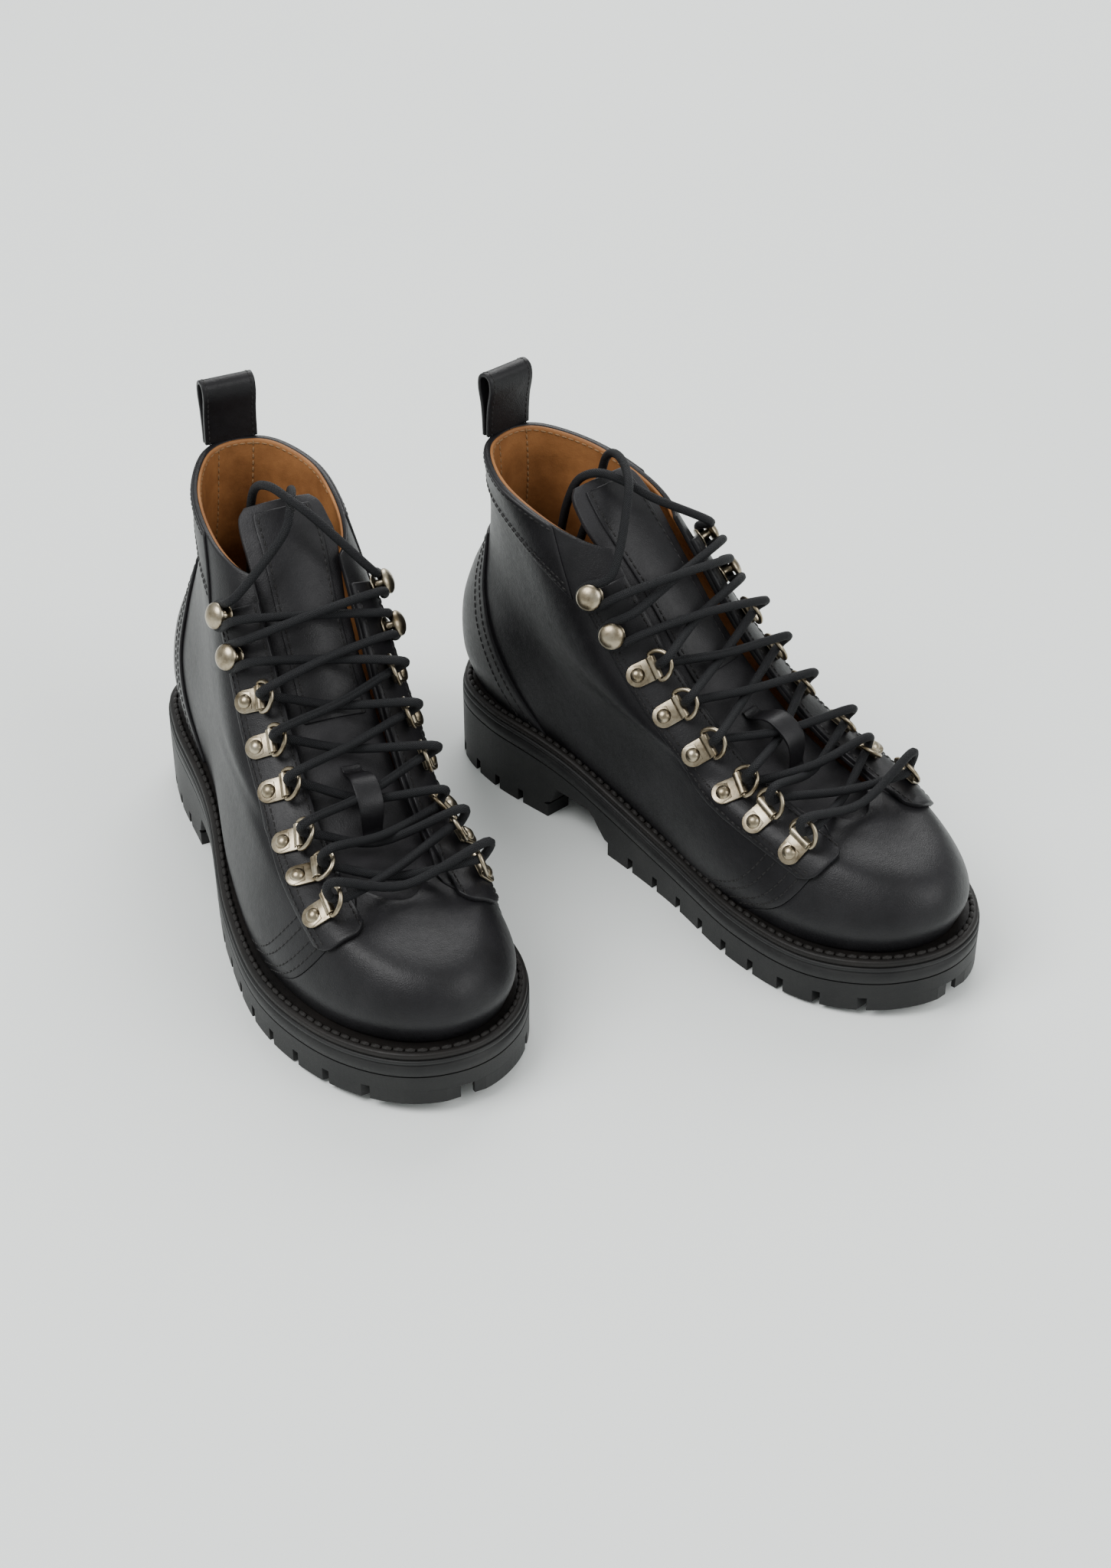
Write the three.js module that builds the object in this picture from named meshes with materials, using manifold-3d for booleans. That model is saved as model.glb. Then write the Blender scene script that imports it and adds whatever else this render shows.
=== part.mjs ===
// A pair of leather lace-to-toe mountaineering boots on lugged rubber soles. Millimetres, +Z up, floor at z = 0.
// Each boot is modelled in its own frame: x runs from the heel's back (0) to the toe, y points to the inner
// (medial) side, z is up. The right boot is placed as modelled, and the left one is its mirror image.
import * as THREE from 'three';
import { mergeVertices } from 'three/addons/utils/BufferGeometryUtils.js';
import Module from 'manifold-3d';

const wasm = await Module();
wasm.setup();

// ---------- Driving dimensions ----------
const RIGHT_BOOT = { x: -164.93, y: 128.287, turn: -64.2 }; // where the heel's back stands, and the heading in degrees
const LEFT_BOOT = { x: -37.93, y: 142.687, turn: -47.3 };
const SOLE = { back: 5, front: 300, toeSpring: 6, springStart: 215 };
const FEATHER = { forefoot: 25, heelRise: 16, heelEnd: 60, ballStart: 185 }; // height of the upper's lower edge
const WELT = { thick: 3, inset: 1, lap: 4.5 };
const MIDSOLE_THICK = 8;
const GAP = 0.3; // left between pieces that touch
const OUTSOLE = { shankLift: 11, heelFront: 88, shankFront: 128, notchWide: 3.2, notchDeep: 9, notchHigh: 5.5 };
const LEATHER = 1.7;
const LINING = { outer: -3.1, thick: 1 };
const FACING = { inner: 20.5, outer: 41.5, low: 1.6, high: 2.6 };
const STRIP = { low: 0.5, high: 0.85, halfWide: 2.6 };
const OVERLAY = { low: 0.9, high: 2 };
const TONGUE = { outer: -5.2, thick: 2.2, halfWide: 22 };
const RIVET_DISTANCE = 35.5; // from the midline, over the leather
const RING_X = [237, 217, 198.6, 180, 163, 147]; // rivet positions along the boot, toe end first
const HOOK_X = [133, 120.5];
const CLIP = { halfWide: 5, plate: 1, stand: 1, barrelOut: 8.2, barrelUp: 2.8, barrelR: 2.1, bore: 1.4 };
const RIVET = { r: 3.4, high: 1.9, post: 1.2, hole: 1.7 };
const RING = { wire: 1, reach: 8.6, halfWide: 6.3, tilt: 24 };
const HOOK = { neck: 1.9, domeLow: 5.5, domeR: 5.7, domeHigh: 3.2 };
const LACE = { r: 1.9, sides: 8, overHigh: 5.6, underHigh: 0.9 };
// The lace's route at a ring and at a hook, in the clip's own frame: towards the throat, up the boot, out of it.
const RING_WRAP = [[16.9, -1.4, 1.6], [11.4, 0, 6.4], [17.4, 1.4, 11.2]];
const HOOK_WRAP = [[14, -5, 5], [0, -5, 3.2], [-4.3, -2.6, 3.2], [-4.3, 2.6, 3.2], [0, 5, 3.2], [14, 5, 5]];
// From the last hook over the tongue's top and down inside the shaft: along the boot, towards the far side, up.
const LACE_END = [[118, -8, 166], [109, 0, 173], [98, 5, 175], [88, 8, 169], [82, 9, 156], [77, 8, 140], [72, 7, 124]];
const LACE_END_LIFT = 5; // of the end that crosses over the other one
const TAB = { halfWide: 12, high: 28, strap: 1.8, bulge: 4.6, foot: 2.1 };

// ---------- The upper's outer surface ----------
// Each level is a closed line round the boot, from the welt (0) to the top line (7): its front and back points
// as [x, z], the midline's y there, and the half widths at seven stations from front to back on each side.
const LEVELS = [
  { front: [291, 31], back: [14, 41], mid: [0, 1], outer: [24, 43, 51, 45, 33, 27.5, 18], inner: [24, 39, 40, 31, 28, 27.5, 18] },
  { front: [295, 45], back: [10, 58], mid: [0, 2], outer: [25, 44, 52, 46, 34, 30.5, 21], inner: [25, 40, 41, 32, 30, 30, 21] },
  { front: [285, 58], back: [10, 80], mid: [0, 3], outer: [20, 36, 44, 41, 34.5, 29.5, 19], inner: [18, 31, 37, 33, 31, 30, 20] },
  { front: [256, 64], back: [17, 100], mid: [-1, 5], outer: [13, 28, 39, 39.5, 33.5, 26.5, 16], inner: [11, 23, 35, 35, 31, 27.5, 17] },
  { front: [213, 75], back: [27, 119], mid: [0, 6], outer: [14, 30, 39.5, 37.5, 31, 23.5, 14], inner: [14, 30, 39, 38, 32, 25, 15] },
  { front: [172, 102], back: [32, 138], mid: [3, 7], outer: [14, 28, 36, 34, 28, 21.5, 13], inner: [14, 28, 37, 36, 30.5, 24, 14.5] },
  { front: [145, 130], back: [34, 156], mid: [5, 8], outer: [13, 26, 31, 31, 27, 21, 12.5], inner: [13, 26, 33, 33.5, 30, 24, 14.5] },
  { front: [127, 150], back: [34.5, 171], mid: [6, 9], outer: [12, 23, 28.5, 29.5, 27, 20.5, 12], inner: [12, 23, 29, 31.5, 30.5, 24, 14.5] },
];
const AROUND = 16; // stations round a level: 0 front, 4 outer side, 8 back, 12 inner side
const TOP = LEVELS.length - 1;

const lerp = THREE.MathUtils.lerp;
const clamp = THREE.MathUtils.clamp;
const smooth = THREE.MathUtils.smoothstep;
const radians = THREE.MathUtils.degToRad;
const vec = (x, y, z) => new THREE.Vector3(x, y, z);
const count = (n) => Array.from({ length: n }, (_, i) => i);
const range = (from, to, steps) => count(steps + 1).map((i) => lerp(from, to, i / steps));

function toeSpring(x) {
  return SOLE.toeSpring * clamp((x - SOLE.springStart) / (SOLE.front - SOLE.springStart), 0, 1) ** 2;
}

function featherHeight(x) {
  const rise = FEATHER.heelRise * (1 - smooth(x, FEATHER.heelEnd, FEATHER.ballStart));
  return FEATHER.forefoot + rise + toeSpring(x);
}

function levelPoint(i, k) {
  const level = LEVELS[i];
  const station = k <= AROUND / 2 ? k : AROUND - k;
  const share = (1 - Math.cos(Math.PI * station / 8)) / 2;
  const x = lerp(level.front[0], level.back[0], share);
  let z = lerp(level.front[1], level.back[1], share);
  if (i < 2) z = featherHeight(x) + i * lerp(level.front[1] - LEVELS[0].front[1], level.back[1] - LEVELS[0].back[1], share);
  const half = station % 8 === 0 ? 0 : k < 8 ? -level.outer[station - 1] : level.inner[station - 1];
  return vec(x, lerp(level.mid[0], level.mid[1], share) + half, z);
}
const CONTROL = LEVELS.map((_, i) => count(AROUND).map((k) => levelPoint(i, k)));

function throughFour(a, b, c, d, t) {
  const out = vec();
  for (const axis of ['x', 'y', 'z']) {
    const [p, q, r, s] = [a[axis], b[axis], c[axis], d[axis]];
    out[axis] = 0.5 * (2 * q + (r - p) * t + (2 * p - 5 * q + 4 * r - s) * t * t + (3 * q - p - 3 * r + s) * t ** 3);
  }
  return out;
}

function levelAt(i, phi) {
  if (i < 0) return levelAt(0, phi).multiplyScalar(2).sub(levelAt(1, phi));
  if (i > TOP) return levelAt(TOP, phi).multiplyScalar(2).sub(levelAt(TOP - 1, phi));
  const j = Math.floor(phi);
  const at = (k) => CONTROL[i][(j + k + 2 * AROUND) % AROUND];
  return throughFour(at(-1), at(0), at(1), at(2), phi - j);
}

function upper(t, phi) {
  const i = clamp(Math.floor(t), 0, TOP - 1);
  return throughFour(levelAt(i - 1, phi), levelAt(i, phi), levelAt(i + 1, phi), levelAt(i + 2, phi), t - i);
}

const STEP = 0.02;
function slopes(t, phi) {
  const up = upper(t + STEP, phi).sub(upper(t - STEP, phi)).divideScalar(2 * STEP);
  const round = upper(t, phi + STEP).sub(upper(t, phi - STEP)).divideScalar(2 * STEP);
  return { up, round, normal: up.clone().cross(round).normalize() };
}

function offsetUpper(t, phi, off) {
  return upper(t, phi).addScaledVector(slopes(t, phi).normal, off);
}

// Walks over the leather from the midline at level t, square to the instep, a signed distance (+ is the inner side).
function acrossTheInstep(t, distance) {
  const along = slopes(t, 0).up.normalize();
  const steps = Math.max(1, Math.ceil(Math.abs(distance) / 2));
  const at = { t, phi: 0 };
  for (let i = 0; i < steps; i++) {
    const { up, round, normal } = slopes(at.t, at.phi);
    const way = along.clone().cross(normal).normalize().multiplyScalar(distance / steps);
    const [a, b, c] = [up.dot(up), up.dot(round), round.dot(round)];
    const [p, q] = [way.dot(up), way.dot(round)];
    const det = a * c - b * b;
    at.t += (p * c - q * b) / det;
    at.phi += (q * a - p * b) / det;
  }
  return at;
}

function overInstep(t, distance, off) {
  const at = acrossTheInstep(t, distance);
  return offsetUpper(at.t, at.phi, off);
}

// The level on the midline from which a walk of that distance lands at that x.
function levelForX(x, distance) {
  let [low, high] = [2, TOP];
  for (let i = 0; i < 20; i++) {
    const middle = (low + high) / 2;
    if (overInstep(middle, distance, 0).x > x) low = middle;
    else high = middle;
  }
  return (low + high) / 2;
}
const ROW_LEVEL = [...RING_X, ...HOOK_X].map((x) => levelForX(x, RIVET_DISTANCE));

// ---------- Building closed meshes ----------
function geometryOf(points, faces) {
  const geometry = new THREE.BufferGeometry();
  geometry.setAttribute('position', new THREE.Float32BufferAttribute(points.flatMap((p) => [p.x, p.y, p.z]), 3));
  geometry.setIndex(faces);
  return facingOut(geometry);
}

function signedVolume(geometry) {
  const [p, index] = [geometry.attributes.position, geometry.index.array];
  const corner = (i) => new THREE.Vector3().fromBufferAttribute(p, index[i]);
  let volume = 0;
  for (let i = 0; i < index.length; i += 3) volume += corner(i).dot(corner(i + 1).cross(corner(i + 2))) / 6;
  return volume;
}

function facingOut(geometry) {
  if (signedVolume(geometry) < 0) geometry.setIndex([...geometry.index.array].reverse());
  return geometry;
}

// A closed skin from an outer and an inner grid of points, rows by columns.
function skin(outer, inner) {
  const [rows, columns] = [outer.length, outer[0].length];
  const points = [...outer.flat(), ...inner.flat()];
  const faces = [];
  const id = (side, r, c) => side * rows * columns + r * columns + c;
  const quad = (a, b, c, d) => faces.push(a, b, c, a, c, d);
  for (let r = 0; r < rows - 1; r++) {
    for (let c = 0; c < columns - 1; c++) {
      quad(id(0, r, c), id(0, r, c + 1), id(0, r + 1, c + 1), id(0, r + 1, c));
      quad(id(1, r, c), id(1, r + 1, c), id(1, r + 1, c + 1), id(1, r, c + 1));
    }
    quad(id(0, r, 0), id(0, r + 1, 0), id(1, r + 1, 0), id(1, r, 0));
    quad(id(0, r, columns - 1), id(1, r, columns - 1), id(1, r + 1, columns - 1), id(0, r + 1, columns - 1));
  }
  for (let c = 0; c < columns - 1; c++) {
    quad(id(0, 0, c), id(1, 0, c), id(1, 0, c + 1), id(0, 0, c + 1));
    quad(id(0, rows - 1, c), id(0, rows - 1, c + 1), id(1, rows - 1, c + 1), id(1, rows - 1, c));
  }
  return geometryOf(points, faces);
}

// A piece of the upper between two offsets, over levels and a span of stations that may change with the level.
function leatherPanel(levels, span, columns, low, high) {
  const grid = (off) => levels.map((t) => {
    const [from, to] = span(t);
    return range(from, to, columns).map((phi) => offsetUpper(t, phi, off));
  });
  return skin(grid(high), grid(low));
}

// A piece over the instep, by level on the midline and distance from it.
function instepPanel(levels, distances, low, high) {
  const grid = (off) => levels.map((t) => distances(t).map((d) => overInstep(t, d, off)));
  return skin(grid(high), grid(low));
}

// A solid whose sections are loops of points, one after another; closed joins the last section to the first.
function loft(sections, closed = false) {
  const n = sections[0].length;
  const faces = [];
  const last = closed ? sections.length : sections.length - 1;
  for (let s = 0; s < last; s++) {
    const [a, b] = [s * n, ((s + 1) % sections.length) * n];
    for (let i = 0; i < n; i++) {
      const j = (i + 1) % n;
      faces.push(a + i, b + i, b + j, a + i, b + j, a + j);
    }
  }
  if (!closed) {
    const end = (sections.length - 1) * n;
    for (let i = 1; i < n - 1; i++) faces.push(0, i, i + 1, end, end + i + 1, end + i);
  }
  return geometryOf(sections.flat(), faces);
}

// A round bar along a closed line of points.
function ringBar(points, r, sides) {
  const last = points.length;
  const at = (i) => points[(i + last) % last];
  let across = null;
  const sections = points.map((p, i) => {
    const along = at(i + 1).clone().sub(at(i - 1)).normalize();
    if (!across) across = Math.abs(along.z) < 0.9 ? vec(0, 0, 1) : vec(1, 0, 0);
    across = across.clone().addScaledVector(along, -across.dot(along)).normalize();
    const side = along.clone().cross(across);
    return count(sides).map((k) => {
      const angle = 2 * Math.PI * k / sides;
      return p.clone().addScaledVector(across, r * Math.cos(angle)).addScaledVector(side, r * Math.sin(angle));
    });
  });
  return loft(sections, true);
}

function solid(geometry) {
  const bare = geometry.clone();
  bare.deleteAttribute('normal');
  bare.deleteAttribute('uv');
  const merged = mergeVertices(bare, 1e-4);
  return new wasm.Manifold(new wasm.Mesh({
    numProp: 3,
    vertProperties: new Float32Array(merged.attributes.position.array),
    triVerts: new Uint32Array(merged.index.array),
  }));
}

function geometryFrom(manifold) {
  const { numProp, vertProperties, triVerts } = manifold.getMesh();
  const points = count(vertProperties.length / numProp)
    .map((i) => vec(...vertProperties.subarray(i * numProp, i * numProp + 3)));
  return geometryOf(points, [...triVerts]);
}

// ---------- Sole ----------
const OUTLINE_SHARE = [0, 0.02, 0.06, 0.15, 0.35, 0.55, 0.72, 0.85, 0.94, 0.985, 1];
const OUTLINE_OUTER = [0, 16, 27, 34.5, 40, 54, 58.5, 50, 35, 19, 0];
const OUTLINE_INNER = [0, 16, 28, 35.5, 34, 38, 47, 46, 33, 17, 0];

function throughTable(shares, values, share) {
  const last = shares.length - 1;
  const i = clamp(shares.findIndex((s) => s > share) - 1, 0, last - 1) + (share >= 1 ? last : 0);
  if (i >= last) return values[last];
  const slope = (k) => (k <= 0 || k >= last ? 0 : (values[k + 1] - values[k - 1]) / (shares[k + 1] - shares[k - 1]));
  const end = (k) => (k === 0 || k === last ? (values[Math.max(k, 1)] - values[Math.max(k, 1) - 1])
    / (shares[Math.max(k, 1)] - shares[Math.max(k, 1) - 1]) : slope(k));
  const h = shares[i + 1] - shares[i];
  const u = (share - shares[i]) / h;
  return values[i] * (1 + 2 * u) * (1 - u) ** 2 + end(i) * h * u * (1 - u) ** 2
    + values[i + 1] * u * u * (3 - 2 * u) - end(i + 1) * h * u * u * (1 - u);
}

// Half the sole's width at x, on the outer side (-1) or the inner side (1).
function soleHalf(x, side) {
  const share = clamp((x - SOLE.back) / (SOLE.front - SOLE.back), 0, 1);
  return Math.max(0.4, throughTable(OUTLINE_SHARE, side < 0 ? OUTLINE_OUTER : OUTLINE_INNER, share));
}

// Stations along the sole, closer together at both ends.
function soleStations(count) {
  return range(0, 1, count).map((u) => lerp(SOLE.back, SOLE.front, (1 - Math.cos(Math.PI * u)) / 2));
}

function soleLayer(stations, bottom, top) {
  return loft(stations.map((x) => [
    vec(x, -soleHalf(x, -1), bottom(x)), vec(x, soleHalf(x, 1), bottom(x)),
    vec(x, soleHalf(x, 1), top(x)), vec(x, -soleHalf(x, -1), top(x)),
  ]));
}

function treadHeight(x) {
  const lift = smooth(x, OUTSOLE.heelFront, OUTSOLE.heelFront + 3) * (1 - smooth(x, OUTSOLE.shankFront - 14, OUTSOLE.shankFront));
  return OUTSOLE.shankLift * lift + toeSpring(x);
}

const midsoleTop = (x) => featherHeight(x) - WELT.thick - GAP;
const midsoleBottom = (x) => midsoleTop(x) - MIDSOLE_THICK;

function makeMidsole() {
  return soleLayer(soleStations(26), midsoleBottom, midsoleTop);
}

// Notches between the lugs, cut in from both edges of the tread.
function makeOutsole() {
  const extra = [OUTSOLE.heelFront, OUTSOLE.heelFront + 3, OUTSOLE.shankFront - 14, OUTSOLE.shankFront];
  const stations = [...soleStations(24), ...extra].sort((a, b) => a - b);
  let body = solid(soleLayer(stations, treadHeight, (x) => midsoleBottom(x) - GAP));
  const notches = [...range(24, 78, 3), ...range(142, 278, 8)];
  for (const x of notches) {
    for (const side of [-1, 1]) {
      const half = soleHalf(x, side);
      const box = new THREE.BoxGeometry(OUTSOLE.notchWide, 2 * OUTSOLE.notchDeep, 2 * OUTSOLE.notchHigh);
      box.translate(x, side * (half + (x > 255 ? 0 : 0.5)), treadHeight(x));
      body = body.subtract(solid(box));
    }
  }
  const channel = new THREE.BoxGeometry(132, 3.5, 2 * 4);
  for (const y of [-16, 18]) body = body.subtract(solid(channel.clone().translate(206, y, 0)));
  return geometryFrom(body);
}

// The upper's lower edge, moved in (-) or out (+) level with the floor.
function featherEdge(phi, out, up) {
  const p = upper(0, phi);
  const along = upper(0, phi + 0.05).sub(upper(0, phi - 0.05));
  const away = vec(-along.y, along.x, 0).normalize().multiplyScalar(out);
  if (away.dot(vec(p.x - 150, p.y * 3, 0)) * out < 0) away.negate();
  return vec(p.x + away.x, p.y + away.y, featherHeight(p.x) + up);
}

function soleEdge(phi) {
  const share = phi <= 8 ? phi / 8 : (AROUND - phi) / 8;
  const side = phi <= 8 ? -1 : 1;
  const x = lerp(SOLE.front - WELT.inset, SOLE.back + WELT.inset, (1 - Math.cos(Math.PI * share)) / 2);
  const half = Math.max(0, soleHalf(x, side) - WELT.inset) * (share === 0 || share === 1 ? 0 : 1);
  return vec(x, side * half, featherHeight(x));
}

function makeWelt() {
  const stations = range(0, AROUND, 44).slice(0, -1);
  return loft(stations.map((phi) => {
    const [edge, inside] = [soleEdge(phi), featherEdge(phi, -WELT.lap, 0)];
    return [edge.clone().setZ(edge.z - WELT.thick), edge, inside, inside.clone().setZ(inside.z - WELT.thick)];
  }), true);
}

function makeInsole() {
  const stations = range(0.5, 7.5, 14);
  return loft(stations.map((k) => {
    const [a, b] = [featherEdge(k, -WELT.lap - 1, 0), featherEdge(AROUND - k, -WELT.lap - 1, 0)];
    return [[a, -WELT.thick], [b, -WELT.thick], [b, 1.5], [a, 1.5]].map(([p, up]) => vec(p.x, p.y, featherHeight(p.x) + up));
  }));
}

// ---------- Upper ----------
const LOWEST = 0.06; // the panels stop just clear of the welt
const THROAT = 3.3; // level of the throat's base
const SEAM_GAP = 0.03; // between neighbouring panels, in stations
const vampEdge = (t) => 2.75 - 0.44 * t;

// The station where the row at level t is that far from its midline, on the outer (-1) or inner (1) side.
function stationAt(t, side, distance) {
  let [low, high] = [0, 4];
  const middleY = upper(t, 0).y;
  for (let i = 0; i < 16; i++) {
    const middle = (low + high) / 2;
    if (Math.abs(upper(t, side < 0 ? middle : AROUND - middle).y - middleY) < distance) low = middle;
    else high = middle;
  }
  return (low + high) / 2;
}

function quarterFront(t, side) {
  const open = stationAt(Math.max(t, THROAT), side, FACING.inner);
  return t <= THROAT ? lerp(vampEdge(t) + SEAM_GAP, open, smooth(t, THROAT - 0.5, THROAT)) : open;
}

const QUARTER_LEVELS = [LOWEST, 0.5, 1, 1.5, 2, 2.5, 2.9, 3.3, 3.7, 4.2, 4.8, 5.6, 6.3, 7];
const sided = (side, phi) => (side < 0 ? phi : AROUND - phi);

function makeQuarter(side) {
  return leatherPanel(QUARTER_LEVELS,
    (t) => [sided(side, quarterFront(t, side)), sided(side, 8 - SEAM_GAP / 2)], 10, -LEATHER, 0);
}

function makeVamp() {
  return leatherPanel([LOWEST, 0.5, 1, 1.5, 2, 2.5, 2.9, 3.3], (t) => [-vampEdge(t), vampEdge(t)], 14, -LEATHER, 0);
}

function makeLining() {
  const levels = [1, 1.8, 2.5, 2.9, 3.3, 3.7, 4.4, 5.2, 6, 7];
  const grid = (off) => levels.map((t) => {
    const outerSide = range(quarterFront(t, -1), 8 - SEAM_GAP / 2, 8);
    const innerSide = range(AROUND - quarterFront(t, 1), 8 + SEAM_GAP / 2, 8).reverse();
    return [...outerSide, ...innerSide].map((phi) => offsetUpper(t, phi, off));
  });
  return skin(grid(LINING.outer), grid(LINING.outer - LINING.thick));
}

const COLLAR_LEVELS = [5.6, 6.3, 7];
const collarFront = (t, side) => stationAt(t, side, 28) + 0.9;

function makeCollar() {
  return leatherPanel(COLLAR_LEVELS, (t) => [collarFront(t, -1), AROUND - collarFront(t, 1)], 16, OVERLAY.low, OVERLAY.high);
}

function makeHeelCounter() {
  const reach = (t) => 0.25 + 2.4 * Math.sqrt(1 - t / 4.6);
  return leatherPanel([0.09, 0.5, 1, 1.5, 2, 2.5, 2.9, 3.3, 3.7, 4.2], (t) => [8 - reach(t), 8 + reach(t)], 10, OVERLAY.low, OVERLAY.high);
}

function facingSpan(t, side) {
  return [FACING.inner, RIVET_DISTANCE - STRIP.halfWide, RIVET_DISTANCE + STRIP.halfWide, FACING.outer].map((d) => side * d);
}

const FACING_LEVELS = [ROW_LEVEL[0] - 0.34, ...range(ROW_LEVEL[0] - 0.08, ROW_LEVEL[7] + 0.05, 10)];

function makeFacing(side) {
  let body = solid(instepPanel(FACING_LEVELS, (t) => facingSpan(t, side), FACING.low, FACING.high));
  for (const level of ROW_LEVEL) {
    const hole = new THREE.BoxGeometry(2 * RIVET.hole, 2 * RIVET.hole, 6);
    body = body.subtract(solid(inFrame(hole, rivetFrame(level, side))));
  }
  return geometryFrom(body);
}

// ---------- Tongue ----------
// Its rows follow the inside of the upper as far as the hooks, and then lean back to a rounded top.
const TONGUE_TOP = [{ x: 112, z: 157, half: 19 }, { x: 104, z: 164, half: 18 }, { x: 98.5, z: 169, half: 16 }];

function tongueGrid(off) {
  const shares = [-1, -0.6, -0.2, 0.2, 0.6, 1];
  const rows = [...range(THROAT - 0.45, 6.6, 9)].map((t) => shares.map((s) => overInstep(t, s * TONGUE.halfWide, off)));
  const back = off - TONGUE.outer; // 0 on the outer face, negative on the inner
  for (const { x, z, half } of TONGUE_TOP) {
    rows.push(shares.map((s) => vec(x + 0.7 * back - 5 * s * s, 8 + s * half, z + 0.7 * back - 4 * s * s)));
  }
  return rows;
}

function makeTongue() {
  return skin(tongueGrid(TONGUE.outer), tongueGrid(TONGUE.outer - TONGUE.thick));
}

// A leather loop on the tongue that the lace runs through where it crosses.
const KEEPER = { reach: 0.25, halfWide: 4.2, high: 10, thick: 1.2 }; // reach in levels

function makeKeeper() {
  const level = (ROW_LEVEL[2] + ROW_LEVEL[3]) / 2;
  const foot = TONGUE.outer + GAP;
  const arch = (grow) => [[-1, foot], [-1, foot + 4], [-0.72, KEEPER.high - 1.2], [-0.3, KEEPER.high], [0.3, KEEPER.high],
    [0.72, KEEPER.high - 1.2], [1, foot + 4], [1, foot]]
    .map(([share, off]) => [share * (KEEPER.reach + 0.025 * grow), off > foot ? off + grow : off]);
  const grid = (grow) => [-1, 1].map((s) => arch(grow).map(([t, off]) => overInstep(level + t, s * KEEPER.halfWide, off)));
  return skin(grid(KEEPER.thick), grid(0));
}

// ---------- Pull tab: one strap folded into a loop ----------
const TAB_BASE = { x: 33.4, y: 9, z: 172.4 };

function makePullTab() {
  const outline = new THREE.Shape();
  const { high, bulge, foot } = TAB;
  outline.moveTo(-foot, 0);
  outline.bezierCurveTo(-foot - 0.5, high * 0.5, -bulge, high * 0.6, -bulge, high - bulge);
  outline.absarc(0, high - bulge, bulge, Math.PI, 0, true);
  outline.bezierCurveTo(bulge, high * 0.6, foot + 0.5, high * 0.5, foot, 0);
  const hole = new THREE.Path();
  const inner = bulge - TAB.strap;
  hole.moveTo(0, 5);
  hole.bezierCurveTo(0.5, high * 0.5, inner, high * 0.6, inner, high - bulge);
  hole.absarc(0, high - bulge, inner, 0, Math.PI, false);
  hole.bezierCurveTo(-inner, high * 0.6, -0.5, high * 0.5, 0, 5);
  outline.holes.push(hole);
  const loop = new THREE.ExtrudeGeometry(outline, { depth: 2 * TAB.halfWide, bevelEnabled: false, curveSegments: 6 });
  loop.translate(0, 0, -TAB.halfWide).rotateX(Math.PI / 2);
  loop.translate(TAB_BASE.x, TAB_BASE.y, TAB_BASE.z);
  return loop;
}

// ---------- Lace hardware ----------
// The frame of a rivet on the facing: X towards the throat, Y up the boot, Z out of the leather.
function rivetFrame(level, side) {
  const at = acrossTheInstep(level, side * RIVET_DISTANCE);
  const z = slopes(at.t, at.phi).normal;
  const origin = offsetUpper(at.t, at.phi, FACING.high);
  const x = overInstep(level, side * (RIVET_DISTANCE - 4), FACING.high).sub(origin);
  x.addScaledVector(z, -x.dot(z)).normalize();
  const y = z.clone().cross(x);
  if (side > 0) y.negate(); // Y points up the boot on both sides, so this frame is left-handed on the inner side
  return new THREE.Matrix4().makeBasis(x, y, z).setPosition(origin);
}

function inFrame(geometry, frame) {
  return facingOut(mergeVertices(stripped(geometry), 1e-4).applyMatrix4(frame));
}

function stripped(geometry) {
  const bare = geometry.clone();
  bare.deleteAttribute('normal');
  bare.deleteAttribute('uv');
  return bare;
}

function clipSolid(frame) {
  const plate = new THREE.Shape();
  plate.absarc(0, 0, CLIP.halfWide, Math.PI / 2, 1.5 * Math.PI, false);
  plate.lineTo(CLIP.barrelOut, -CLIP.halfWide);
  plate.lineTo(CLIP.barrelOut, CLIP.halfWide);
  const sheet = new THREE.ExtrudeGeometry(plate, { depth: CLIP.plate, bevelEnabled: false, curveSegments: 3 });
  const barrel = new THREE.CylinderGeometry(CLIP.barrelR, CLIP.barrelR, 2 * CLIP.halfWide, 6).translate(CLIP.barrelOut, 0, CLIP.barrelUp);
  const bore = new THREE.CylinderGeometry(CLIP.bore, CLIP.bore, 3 * CLIP.halfWide, 6).translate(CLIP.barrelOut, 0, CLIP.barrelUp);
  const dome = new THREE.LatheGeometry([[0, 1.5], [RIVET.r, 1.5], [RIVET.r - 1.2, 2.9], [0, 3.2]].map((p) => new THREE.Vector2(...p)), 6)
    .rotateX(Math.PI / 2);
  const post = new THREE.BoxGeometry(2 * RIVET.post, 2 * RIVET.post, 3.2).translate(0, 0, -0.6);
  const parts = [sheet.translate(0, 0, CLIP.stand), barrel, dome, post].map((g) => solid(inFrame(g, frame)));
  return parts.reduce((a, b) => a.add(b)).subtract(solid(inFrame(bore, frame)));
}

function hookSolid(frame) {
  const { neck, domeLow, domeR, domeHigh } = HOOK;
  const top = domeLow + domeHigh;
  const profile = [[0, GAP], [4.2, GAP], [neck, 1.1], [neck, domeLow], [domeR, domeLow + 0.5], [domeR - 1.8, top - 0.6], [0, top]];
  const turned = new THREE.LatheGeometry(profile.map((p) => new THREE.Vector2(...p)), 7).rotateX(Math.PI / 2);
  const post = new THREE.BoxGeometry(2 * RIVET.post, 2 * RIVET.post, 3.2).translate(0, 0, -0.6);
  return solid(inFrame(turned, frame)).add(solid(inFrame(post, frame)));
}

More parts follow.
